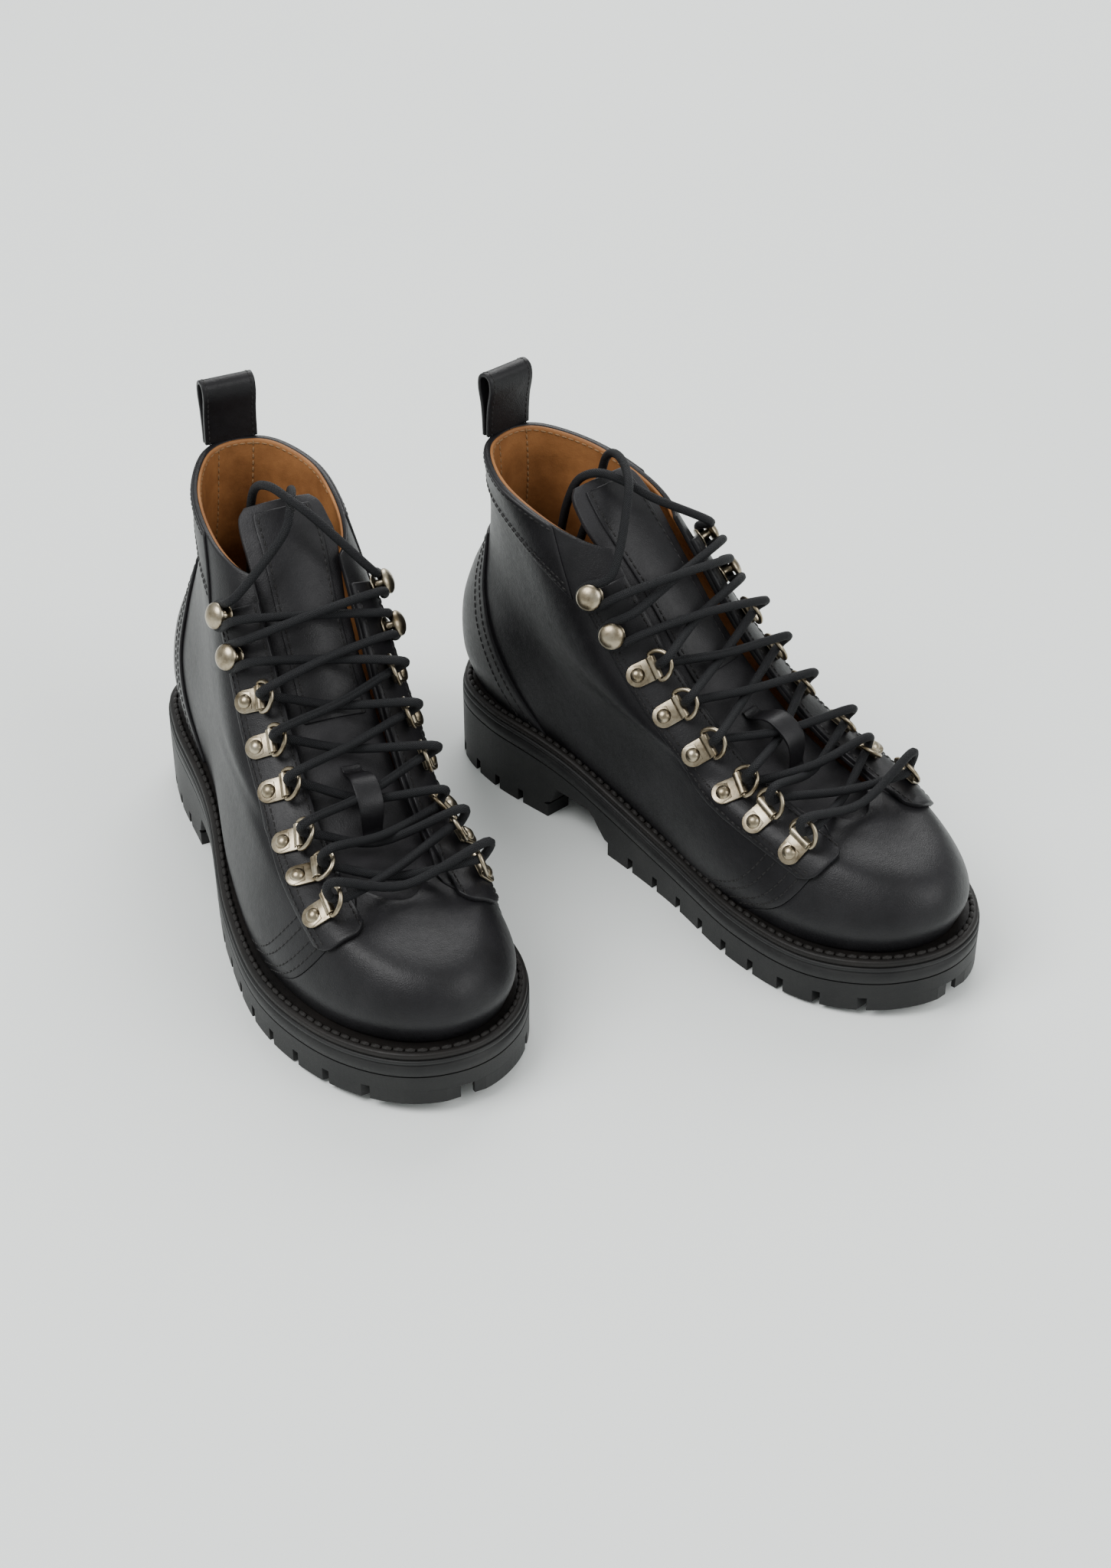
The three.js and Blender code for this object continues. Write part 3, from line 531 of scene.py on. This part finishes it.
def braid(name):
    """Waxed braided cord: strands crossing on the tube's own lay, u round it and v along it."""
    material, nodes, links, shader, where = new_material(name)
    lay = nodes.new("ShaderNodeUVMap")
    lay.uv_map = "lay"
    waves = []
    for turn in (1, -1):
        mapping = nodes.new("ShaderNodeMapping")
        mapping.inputs["Rotation"].default_value = (0, 0, turn * math.radians(45))
        links.new(lay.outputs["UV"], mapping.inputs["Vector"])
        wave = nodes.new("ShaderNodeTexWave")
        wave.inputs["Scale"].default_value = 0.45
        wave.inputs["Distortion"].default_value = 0.4
        links.new(mapping.outputs["Vector"], wave.inputs["Vector"])
        waves.append(wave.outputs["Fac"])
    both = nodes.new("ShaderNodeMath")
    both.operation = "MAXIMUM"
    links.new(waves[0], both.inputs[0])
    links.new(waves[1], both.inputs[1])
    fuzz = noise(nodes, links, where, 2200, 3)
    stops = [(0.2, (0.002, 0.002, 0.0025)), (0.8, (0.011, 0.0115, 0.013))]
    color = ramp(nodes, links, both.outputs[0], stops)
    links.new(color, shader.inputs["Base Color"])
    links.new(spread(nodes, links, fuzz, 0.5, 0.75), shader.inputs["Roughness"])
    normal = bump(nodes, links, both.outputs[0], 0.7, 0.0005)
    links.new(bump(nodes, links, fuzz, 0.3, 0.0001, normal), shader.inputs["Normal"])
    shader.inputs["Specular IOR Level"].default_value = 0.2
    return material


def thread(name, color, rough=0.6):
    material, nodes, links, shader, where = new_material(name)
    twist = nodes.new("ShaderNodeTexWave")
    twist.bands_direction = "DIAGONAL"
    twist.inputs["Scale"].default_value = 900
    links.new(where, twist.inputs["Vector"])
    darker = tuple(c * 0.5 for c in color)
    shade = ramp(nodes, links, twist.outputs["Fac"], [(0.2, darker), (0.8, color)])
    links.new(shade, shader.inputs["Base Color"])
    links.new(bump(nodes, links, twist.outputs["Fac"], 0.5, 0.0002), shader.inputs["Normal"])
    shader.inputs["Roughness"].default_value = rough
    shader.inputs["Specular IOR Level"].default_value = 0.25
    return material


BLACK = leather("black_leather_grain", (0.005, 0.0048, 0.0056), (0.0115, 0.011, 0.0125))
BLACK_SOFT = leather("black_tongue_leather", (0.009, 0.0088, 0.01), (0.02, 0.019, 0.021),
                     rough=(0.42, 0.6), pebble=0.3, crease=0.6)
TAN = leather("tan_lining_leather", (0.17, 0.068, 0.022), (0.34, 0.15, 0.052),
              rough=(0.5, 0.7), pebble=0.15, crease=0.5)
INSOLE = leather("insole_leather", (0.19, 0.085, 0.034), (0.33, 0.16, 0.07),
                 rough=(0.55, 0.75), pebble=0.15, crease=0.4)
EDGE = leather("welt_edge_leather", (0.005, 0.0047, 0.0045), (0.012, 0.01, 0.009),
               rough=(0.4, 0.6), pebble=0.1, crease=0.4)
RUBBER = rubber("moulded_rubber")
METAL = metal("aged_nickel_plate")
CORD = braid("braided_cord")
THREAD = thread("black_thread", (0.014, 0.013, 0.013), 0.45)
WELT_THREAD = thread("welt_thread", (0.014, 0.012, 0.011), 0.5)
TAN_THREAD = thread("tan_thread", (0.33, 0.19, 0.09))


# ---------- Sole ----------
# The half widths of the sole on its outer and inner side, at shares of its length from the heel.
SHARES = np.array([0, 0.02, 0.06, 0.15, 0.35, 0.55, 0.72, 0.85, 0.94, 0.985, 1])
OUTER_HALF = np.array([0, 16, 27, 34.5, 40, 54, 58.5, 50, 35, 19, 0])
INNER_HALF = np.array([0, 16, 28, 35.5, 34, 38, 47, 46, 33, 17, 0])
TURNS = np.arccos(1 - 2 * SHARES)


def hermite(x, xs, ys):
    """A smooth curve through a table, by its angle round the sole."""
    slope = np.gradient(ys, xs)
    i = np.clip(np.searchsorted(xs, x) - 1, 0, len(xs) - 2)
    h = xs[i + 1] - xs[i]
    u = (x - xs[i]) / h
    return (ys[i] * (1 + 2 * u) * (1 - u) ** 2 + slope[i] * h * u * (1 - u) ** 2
            + ys[i + 1] * u * u * (3 - 2 * u) - slope[i + 1] * h * u * u * (1 - u))


def sole_loop(count, inset=0.0):
    """(x, y) points round the sole's edge, moved inwards by inset: the outer side first, toe to heel."""
    k = np.linspace(0, 2 * math.pi, count, endpoint=False)
    turn = np.where(k <= math.pi, math.pi - k, k - math.pi)
    x = SOLE_BACK + (SOLE_FRONT - SOLE_BACK) * (1 - np.cos(turn)) / 2
    y = np.where(k <= math.pi, -hermite(turn, TURNS, OUTER_HALF), hermite(turn, TURNS, INNER_HALF))
    loop = np.stack([x, y], -1)
    along = unit(np.roll(loop, -1, 0) - np.roll(loop, 1, 0))
    return loop + np.stack([along[:, 1], -along[:, 0]], -1) * inset


def sole_half(x, side):
    turn = np.arccos(np.clip(1 - 2 * (np.asarray(x, float) - SOLE_BACK) / (SOLE_FRONT - SOLE_BACK), -1, 1))
    return hermite(turn, TURNS, OUTER_HALF if side == OUTER else INNER_HALF)


def stacked(profile, count=240):
    """A solid round the sole from [inset, height(x)] rings, bottom to top, closed below and above."""
    rings = []
    for inset, height in profile:
        loop = sole_loop(count, inset)
        rings.append(np.column_stack([loop, height(loop[:, 0])]))
    points = np.concatenate(rings)
    faces = grid_faces(len(rings), count, around=True)
    caps = []
    for start, flip in ((0, True), (len(points) - count, False)):
        half = count // 2
        for i in range(half):
            a, b = start + i, start + i + 1
            c, d = start + (count - i - 1) % count, start + (count - i) % count
            quad = [a, b, c] if i == 0 else [a, b, c, d]
            if b == c:
                quad = [a, b, d]
            caps.append(tuple(quad[::-1] if flip else quad))
    return points, [tuple(reversed(f)) for f in faces + caps]


def midsole_top(x):
    return feather_height(x) - WELT_THICK - 0.1


def midsole_bottom(x):
    return midsole_top(x) - MIDSOLE_THICK


def tread(x):
    lift = smooth(x, HEEL_FRONT, HEEL_FRONT + 3) * (1 - smooth(x, SHANK_FRONT - 14, SHANK_FRONT))
    return SHANK_LIFT * lift + toe_spring(x)


def lug(x0, x1, side, depth):
    """A tread block along the sole's edge."""
    ends = np.arccos(1 - 2 * (np.array([x0, x1]) - SOLE_BACK) / (SOLE_FRONT - SOLE_BACK))
    xs = SOLE_BACK + (SOLE_FRONT - SOLE_BACK) * (1 - np.cos(np.linspace(*ends, 10))) / 2
    edge = side * (sole_half(xs, side) - 0.15)
    inside = side * np.maximum(sole_half(xs, side) - depth, 3)
    outline = np.concatenate([np.column_stack([xs, edge]), np.column_stack([xs[::-1], inside[::-1]])])
    points, faces = prism(outline, 0, 1)
    points[:, 2] = tread(points[:, 0]) + points[:, 2] * (LUG_HIGH + 1)
    return points, faces


def block(x, y, long, wide):
    """A tread block inside the edge, by its middle and half sizes."""
    corners = [(x - long, y - wide), (x + long, y - wide), (x + long, y + wide), (x - long, y + wide)]
    points, faces = prism(corners, 0, 1)
    points[:, 2] = tread(points[:, 0]) + points[:, 2] * (LUG_HIGH + 1)
    return points, faces


def outsole_shape():
    base = stacked([(1.2, lambda x: tread(x) + LUG_HIGH), (0.1, lambda x: tread(x) + LUG_HIGH + 1),
                    (0, lambda x: midsole_bottom(x) - 0.2)])
    shapes = [base]
    gap = 3.2
    for side in (OUTER, INNER):
        for first, last, pitch in ((9, HEEL_FRONT, 15.5), (SHANK_FRONT, 299, 17)):
            count = int(round((last - first) / pitch))
            for i in range(count):
                x0 = first + (last - first) * i / count
                x1 = first + (last - first) * (i + 1) / count - (gap if i < count - 1 else 0)
                shapes.append(lug(x0, x1, side, 13))
    for x in range(150, 276, 17):
        shapes.append(block(x, -14, 5.5, 6.5))
        shapes.append(block(x + 8, 8, 5.5, 6.5))
    for x in range(26, 84, 18):
        shapes.append(block(x, 0, 5, 9))
    return join(shapes)


def midsole_shape():
    return stacked([(0.6, lambda x: midsole_bottom(x) - 0.1), (0, lambda x: midsole_bottom(x) + 0.5),
                    (0, lambda x: midsole_top(x) - 2.6), (0.7, lambda x: midsole_top(x) - 2.3),
                    (0.7, lambda x: midsole_top(x) - 1.9), (0.1, lambda x: midsole_top(x) - 1.6),
                    (0.1, lambda x: midsole_top(x) - 0.4), (0.6, midsole_top)])


def welt_shape():
    return stacked([(1.3, lambda x: feather_height(x) - WELT_THICK), (0.8, lambda x: feather_height(x) - 2.5),
                    (0.8, lambda x: feather_height(x) - 0.6), (1.5, lambda x: feather_height(x)),
                    (3.2, lambda x: feather_height(x) + 0.2), (4.8, lambda x: feather_height(x) - 0.15)])


def welt_stitches():
    loop = sole_loop(400, 3.7)
    loop = np.concatenate([loop, loop[:1]])
    line = np.column_stack([loop, feather_height(loop[:, 0]) + 0.55])
    up = np.tile([0, 0, 1.0], (len(line), 1))
    return stitches(line, up, pitch=4.8, length=4.4, radius=1.15, sink=0.1)


def insole_shape(count=120):
    loop = upper(np.zeros(count), np.linspace(0, AROUND, count, endpoint=False))
    middle = np.column_stack([loop[:, 0], np.full(count, 1.0), loop[:, 2]])
    rings = []
    for share, lift in ((0.3, 0.5), (0.95, 0.5), (0.96, 1.0), (0.9, 2.0), (0.5, 2.2), (0.05, 2.3)):
        ring = middle + (loop - middle) * share
        ring[:, 2] = feather_height(ring[:, 0]) + lift
        rings.append(ring)
    return np.concatenate(rings), closed_ends(len(rings), count)


# ---------- Leather ----------
def leather_panel(levels, span, columns, low, high):
    """Leather over the levels, from station to station of span(level), between two offsets."""
    levels = np.asarray(levels, float)
    ends = np.array([span(float(t)) for t in levels])
    share = np.linspace(0, 1, columns)
    phi = ends[:, :1] + (ends[:, 1:] - ends[:, :1]) * share
    t = np.broadcast_to(levels[:, None], phi.shape)
    outer, inner = offset_upper(t, phi, high), offset_upper(t, phi, low)
    return skin(outer, inner)


def facing_rows():
    return np.linspace(ROW_LEVEL[0] - 0.36, ROW_LEVEL[7] + 0.08, 90)


def facing_shape(side):
    t, d = np.meshgrid(facing_rows(), side * np.linspace(FACING_IN, FACING_OUT, 16), indexing="ij")
    across = np.abs(np.linspace(-1, 1, 16))
    front = np.linspace(1, 0, len(t)) ** 4
    t = t + FACING_ROUND * across ** 4 * front[:, None]
    base_t, base_phi = across_instep(t, d)
    edge = 1 - 0.12 * across ** 8
    return skin(offset_upper(base_t, base_phi, FACING_TOP * edge), offset_upper(base_t, base_phi, FACING_LOW))


def counter_reach(t):
    """Stations from the back to the heel counter's edge."""
    return 0.25 + 2.4 * math.sqrt(max(0, 1 - t / 4.6))


def collar_front(side):
    return station_at(COLLAR_FRONT_LEVEL, side, 28) + 0.9


def collar_stations(shares):
    """The collar's stations, from its outer front end round the back to its inner one."""
    return collar_front(OUTER) * (1 - shares) + (AROUND - collar_front(INNER)) * shares


def collar_low(phi_share):
    """The collar band's lower edge dips towards the front."""
    return 5.95 - 0.35 * abs(2 * phi_share - 1) ** 2


def collar_shape():
    rows, shares = np.meshgrid(np.linspace(0, 1, 14), np.linspace(0, 1, 90), indexing="ij")
    low = collar_low(shares)
    t = low + (COLLAR_TOP - low) * rows
    phi = collar_stations(shares)
    return skin(offset_upper(t, phi, COLLAR_OUT), offset_upper(t, phi, COLLAR_LOW))


def tongue_grid(off):
    """Points over the tongue: under the instep first, then its top, which stands free above the upper."""
    shares = np.linspace(-1, 1, 9)
    rows = [over_instep(t, shares * TONGUE_HALF, off) for t in np.linspace(THROAT - 0.45, 6.6, 12)]
    back = off - TONGUE_OFF
    for x, z, half in ((112, 157, 20), (104, 164, 19.5), (98.5, 169, 18), (95.5, 171.6, 14.5)):
        along, height = x + 0.7 * back - 3 * shares ** 2, z + 0.7 * back - 2.5 * shares ** 2
        rows.append(np.stack([along, 8 + shares * half, height], -1))
    fine = catmull(np.array(rows), 5)
    return np.swapaxes(catmull(np.swapaxes(fine, 0, 1), 5), 0, 1)


def tongue_shape(lift=0.0, thick=TONGUE_THICK, rows=slice(None), columns=slice(None)):
    outer, inner = tongue_grid(TONGUE_OFF + lift), tongue_grid(TONGUE_OFF + lift - thick)
    return skin(outer[rows, columns], inner[rows, columns])


def lining_shape():
    levels = np.linspace(0.9, 6.97, 60)
    rows = []
    for t in levels:
        outer_side = np.linspace(quarter_front(t, OUTER) + LINING_BACK, BACK, 50)
        inner_side = np.linspace(BACK, AROUND - quarter_front(t, INNER) - LINING_BACK, 50)
        rows.append(np.concatenate([outer_side, inner_side[1:]]))
    phi = np.array(rows)
    t = np.broadcast_to(levels[:, None], phi.shape)
    return skin(offset_upper(t, phi, LINING_OUT), offset_upper(t, phi, LINING_IN))


def keeper_shape():
    level = (ROW_LEVEL[2] + ROW_LEVEL[3]) / 2
    foot = TONGUE_OFF + 0.1
    arch = [(-0.34, foot), (-0.27, foot + 0.6), (-0.2, 2.5), (-0.12, 6.6), (0, 7.9), (0.12, 6.6), (0.2, 2.5),
            (0.27, foot + 0.6), (0.34, foot)]
    line = catmull(np.array(arch), 6)
    across = np.linspace(-4.6, 4.6, 9)
    grids = []
    for grow in (1.3, 0):
        t, d = np.meshgrid(level + line[:, 0], across, indexing="ij")
        grids.append(over_instep(t, d, (line[:, 1] + grow)[:, None]))
    return skin(*grids)


def tab_line():
    """The strap's line seen from the side, up the back and down the front, and the way out of it."""
    h, b, f = TAB_HIGH, TAB_BULGE - TAB_STRAP / 2, TAB_FOOT - TAB_STRAP / 2
    points = [(-f, -TAB_SUNK), (-f - 0.3, h * 0.2), (-f - 1, h * 0.45), (-b, h * 0.72),
              (-b * 0.85, h - b * 0.75), (0, h - TAB_STRAP / 2), (b * 0.85, h - b * 0.75),
              (b, h * 0.72), (f + 1, h * 0.45), (f + 0.3, h * 0.2), (f, -TAB_SUNK)]
    line = catmull(np.array(points), 8)
    along = unit(np.gradient(line, axis=0))
    return line, np.stack([-along[:, 1], along[:, 0]], -1)


def tab_shape():
    line, out = tab_line()
    across = np.linspace(-TAB_HALF, TAB_HALF, 15)
    grids = []
    for way in (0.5, -0.5):
        side = line + out * way * TAB_STRAP
        grid = [[(TAB_BASE[0] + x, TAB_BASE[1] + y, TAB_BASE[2] + z) for y in across] for x, z in side]
        grids.append(np.array(grid))
    return skin(*grids)


def tab_stitches():
    line, out = tab_line()
    edge = line + out * TAB_STRAP / 2
    rows = []
    for y in (-TAB_HALF + 2, TAB_HALF - 2):
        points = np.array([(TAB_BASE[0] + x, TAB_BASE[1] + y, TAB_BASE[2] + z) for x, z in edge])
        ups = np.array([(a, 0, b) for a, b in out])
        rows.append(stitches(points, ups, 2.8, 2.3, 0.35))
    return join(rows)


# ---------- Hardware ----------
def rivet_frame(level, side):
    """Axes towards the throat, up the boot and out of the leather, and the place on the facing's face."""
    t, phi = across_instep(level, side * RIVET_DISTANCE)
    out = slopes(t, phi)[2]
    origin = offset_upper(t, phi, FACING_TOP)
    throat = over_instep(level, side * (RIVET_DISTANCE - 4), FACING_TOP) - origin
    throat = unit(throat - out * throat.dot(out))
    up = np.cross(out, throat) * -side
    return np.stack([throat, up, out]), origin


def in_frame(shape, rivet):
    axes, origin = rivet
    points, faces = shape
    return origin + np.asarray(points, float) @ axes, faces


def clip_shape():
    """A plate with a raised lip, the barrel rolled round the ring's bar, and the rivet's dome."""
    angles = np.linspace(math.pi / 2, 1.5 * math.pi, 16)
    arc = [(CLIP_HALF * math.cos(a), CLIP_HALF * math.sin(a)) for a in angles]
    plate = prism(arc + [(BARREL_OUT, -CLIP_HALF), (BARREL_OUT, CLIP_HALF)], 0.2, 1.3)
    lip = prism(arc[2:-2] + [(3, -3.5), (3, 3.5)], 1.2, 1.6)
    turn = np.linspace(math.radians(-150), math.radians(170), 22)
    walls = []
    near = CLIP_HALF - BARREL_RIM
    for r in (BARREL_R, BARREL_R - BARREL_WALL):
        out, up = BARREL_OUT + r * np.cos(turn), BARREL_UP + r * np.sin(turn)
        rows = [np.stack([out, np.full(22, y), up], -1) for y in (-CLIP_HALF, -near, near, CLIP_HALF)]
        walls.append(np.stack(rows))
    barrel = skin(*walls)
    dome = lathe([(0.01, 3.5), (1.2, 3.35), (2.2, 2.85), (2.9, 2.1), (3.2, 1.5), (3.3, 1.0), (0.01, 1.0)], 20)
    return join([plate, lip, barrel, dome])


def hook_shape():
    """A disc on the leather, a neck that holds the lace, and a domed head."""
    profile = [(0.01, 0.1), (4.6, 0.1), (4.7, 0.7), (4.2, 1.1), (2.3, 1.2), (1.9, 1.8), (1.9, 5.2),
               (3.6, 5.4), (5.2, 5.6), (5.7, 6.1), (5.5, 6.9), (4.5, 7.8), (3, 8.5), (1.5, 8.8), (0.01, 8.9)]
    return lathe(profile, 28)


def ring_line():
    """The D ring in its own plane: its bar through the barrel, then the bow."""
    w = RING_HALF
    bow = [(1.6 + (RING_REACH - 1.6) * math.cos(a), w * math.sin(a) / math.sin(math.radians(80)))
           for a in np.radians(np.linspace(-80, 80, 7))]
    return [(0, w - 1.6), (0, 0), (0, -(w - 1.6)), (0.3, -w + 0.3)] + bow + [(0.3, w - 0.3)]


def ring_shape(rivet):
    tilt = math.radians(RING_TILT)
    line = [(BARREL_OUT + r * math.cos(tilt), a, BARREL_UP + r * math.sin(tilt)) for r, a in ring_line()]
    shape = tube(catmull(np.array(line), 5, closed=True), RING_WIRE, 12, closed=True)
    return in_frame(shape, rivet)


# ---------- Lace ----------
def half_lace(side):
    """From the toe to the end inside the shaft, first round the ring on that side: the CAD's own route."""
    points = []
    for row, level in enumerate(ROW_LEVEL):
        axes, origin = rivet_frame(level, side)
        turn = RING_WRAP if row < len(RING_X) else HOOK_WRAP
        turn = [origin + np.array(p) @ axes for p in (turn[::-1] if row == 0 else turn)]
        points += turn
        if row < len(ROW_LEVEL) - 1:
            high = OVER_HIGH if side == OUTER else UNDER_HIGH
            points.append(over_instep((level + ROW_LEVEL[row + 1]) / 2, 0, high))
            side = -side
    middle = LEVELS[TOP][2][1] - 1
    lift = 0 if side == OUTER else LACE_END_LIFT
    for i, (x, across, z) in enumerate(LACE_END):
        points.append(np.array([x, middle - side * across, z + (lift if i < 4 else 0)]))
    return points


def lace_shape():
    """The cord, with u going 12 mm round it and v along it for the braid."""
    start = over_instep(ROW_LEVEL[0], 0, OVER_HIGH)
    line = catmull(np.array(half_lace(OUTER)[::-1] + [start] + half_lace(INNER)), 7)
    uv = [(12 * k / LACE_SIDES, along) for along in distances_along(line) for k in range(LACE_SIDES)]
    return tube(line, LACE_R, LACE_SIDES), uv


# ---------- One boot ----------
def upper_pieces(boot):
    levels = np.linspace(0.02, THROAT, 46)
    vamp = leather_panel(levels, lambda t: (-vamp_edge(t), vamp_edge(t)), 90, -LEATHER, 0)
    add(boot, "vamp", vamp, BLACK, stands_for=["vamp"], bevel=0.4)
    levels = np.concatenate([np.linspace(0.02, 2.7, 30), np.linspace(2.8, 3.4, 14),
                             np.linspace(3.5, 6.99, 44)])
    for name, side in SIDES:
        shape = leather_panel(levels, lambda t, s=side: (sided(s, quarter_front(t, s)), sided(s, BACK)), 80,
                              -LEATHER, QUARTER_OUT)
        add(boot, f"quarter_{name}", shape, BLACK, stands_for=[f"quarter_{name}"], bevel=0.4)
        add(boot, f"facing_{name}", facing_shape(side), BLACK,
            stands_for=[f"facing_{name}"], bevel=0.5)
    counter = leather_panel(np.linspace(0.03, 4.2, 50),
                            lambda t: (BACK - counter_reach(t), BACK + counter_reach(t)), 60,
                            COUNTER_LOW, COUNTER_OUT)
    add(boot, "heel_counter", counter, BLACK, stands_for=["heel_counter"], bevel=0.45)
    add(boot, "collar", collar_shape(), BLACK, stands_for=["collar"], bevel=0.4)
    add(boot, "lining", lining_shape(), TAN, stands_for=["lining"])
    add(boot, "insole", insole_shape(), INSOLE, stands_for=["insole"])


def seams(boot):
    rows = np.linspace(0.1, 4.05, 80)
    lines = []
    for inset in (0.16, 0.36):
        for way in (-1, 1):
            stations = [BACK + way * (counter_reach(t) - inset) for t in rows]
            lines.append(seam(rows, stations, COUNTER_OUT + 0.05))
    shares = np.linspace(0.01, 0.99, 160)
    low = collar_low(shares)
    for t in (low + 0.09, low + 0.2, COLLAR_TOP - 0.11):
        lines.append(seam(t, collar_stations(shares), COLLAR_OUT + 0.03))
    for side in (OUTER, INNER):
        front = np.linspace(0.1, 2.75, 50)
        for step in (0.1, 0.22, 0.4, 0.52):
            lines.append(seam(front, [sided(side, quarter_front(t, side) + step) for t in front], 0.4))
        for distance in (FACING_IN + 1.8, FACING_OUT - 1.8, FACING_OUT - 4):
            lines.append(instep_seam(facing_rows()[2:-2], side * distance, FACING_TOP + 0.03))
        lines.append(seam(np.linspace(4.3, 5.8, 30), sided(side, BACK - 0.12), 0.4))
    add(boot, "seams", join(lines), THREAD)
    inside = []
    up = np.linspace(3.2, 6.85, 70)
    for t, phi in ((up, 7.35), (up, 8.65), (6.85, np.linspace(4.2, 11.8, 160))):
        inside.append(stitches(offset_upper(t, phi, LINING_IN - 0.05), -slopes(t, phi)[2]))
    add(boot, "lining_seams", join(inside), TAN_THREAD)


def tongue_pieces(boot):
    add(boot, "tongue", tongue_shape(), BLACK_SOFT, stands_for=["tongue"], bevel=0.4)
    patch = tongue_shape(1.1, 1.0, slice(34, -5), slice(6, -6))
    add(boot, "tongue_patch", patch, BLACK, bevel=0.4)
    outer = tongue_grid(TONGUE_OFF + 1.15)
    normals = unit(np.cross(np.gradient(outer, axis=0), np.gradient(outer, axis=1)))
    rows = []
    for column in (8, 32):
        normal = normals[34:-6, column]
        rows.append(stitches(outer[34:-6, column], -normal if normal[0][2] < 0 else normal))
    add(boot, "tongue_seams", join(rows), THREAD)
    add(boot, "lace_keeper", keeper_shape(), BLACK, stands_for=["lace_keeper"], bevel=0.35)


def hardware(boot):
    for name, side in SIDES:
        shapes = []
        for row, level in enumerate(ROW_LEVEL):
            rivet = rivet_frame(level, side)
            shapes.append(in_frame(clip_shape() if row < len(RING_X) else hook_shape(), rivet))
            if row < len(RING_X):
                add(boot, f"d_ring_{name}_{row + 1}", ring_shape(rivet), METAL,
                    body=f"{boot}_ring_{name}_{row + 1}", stands_for=[f"d_ring_{name}_{row + 1}"])
        add(boot, f"clips_{name}", join(shapes), METAL,
            stands_for=[f"clips_{name}"], bevel=0.2)


def sole_pieces(boot):
    add(boot, "outsole", outsole_shape(), RUBBER, stands_for=["outsole"], bevel=0.5,
        flat_shaded=True)
    add(boot, "midsole", midsole_shape(), RUBBER, stands_for=["midsole"])
    add(boot, "welt", welt_shape(), EDGE, stands_for=["welt"])
    add(boot, "welt_stitches", welt_stitches(), WELT_THREAD)


def make_boot(boot):
    sole_pieces(boot)
    upper_pieces(boot)
    seams(boot)
    tongue_pieces(boot)
    hardware(boot)
    lace, lay = lace_shape()
    add(boot, "lace", lace, CORD, stands_for=["lace"], uv=lay)
    add(boot, "pull_tab", tab_shape(), BLACK, body=f"{boot}_pull_loop",
        stands_for=["pull_tab"], bevel=0.35)
    add(boot, "pull_tab_seams", tab_stitches(), THREAD, body=f"{boot}_pull_loop")


# ---------- Floor, light and camera ----------
def make_floor():
    material, nodes, links, shader, where = new_material("pale_floor")
    tone = noise(nodes, links, where, 3, 2)
    color = ramp(nodes, links, tone, [(0.2, (0.8, 0.83, 0.815)), (0.8, (0.83, 0.855, 0.84))])
    links.new(color, shader.inputs["Base Color"])
    shader.inputs["Roughness"].default_value = 0.85
    bpy.ops.mesh.primitive_plane_add(size=12, location=(0, 0, 0))
    floor = bpy.context.object
    floor.name = "floor"
    floor.data.materials.append(material)


def area_light(name, at, size, watts):
    data = bpy.data.lights.new(name, "AREA")
    data.shape = "DISK"
    data.size = size
    data.energy = watts
    light = bpy.data.objects.new(name, data)
    light.location = at
    light.rotation_euler = (Vector((0, 0.03, 0.06)) - Vector(at)).to_track_quat("-Z", "Y").to_euler()
    bpy.context.scene.collection.objects.link(light)


def make_light():
    area_light("key", (-1.3, -0.6, 2.1), 1.6, 58)
    area_light("fill", (1.7, -0.9, 1.5), 1.8, 32)
    area_light("back", (0.2, 1.9, 1.7), 1.8, 44)
    world = bpy.data.worlds.new("studio")
    bpy.context.scene.world = world
    world.use_nodes = True
    background = world.node_tree.nodes["Background"]
    background.inputs["Color"].default_value = (0.95, 0.98, 0.97, 1)
    background.inputs["Strength"].default_value = 0.7


def make_camera():
    e = math.radians(CAMERA_ELEVATION)
    data = bpy.data.cameras.new("camera")
    data.lens = LENS
    data.sensor_width = SENSOR
    camera = bpy.data.objects.new("camera", data)
    back = Vector((0, -math.cos(e), math.sin(e)))
    camera.location = LOOK_AT + back * CAMERA_DISTANCE
    camera.rotation_euler = (-back).to_track_quat("-Z", "Y").to_euler()
    bpy.context.scene.collection.objects.link(camera)
    bpy.context.scene.camera = camera


make_camera()
for boot_name in BOOTS:
    make_boot(boot_name)
make_floor()
make_light()
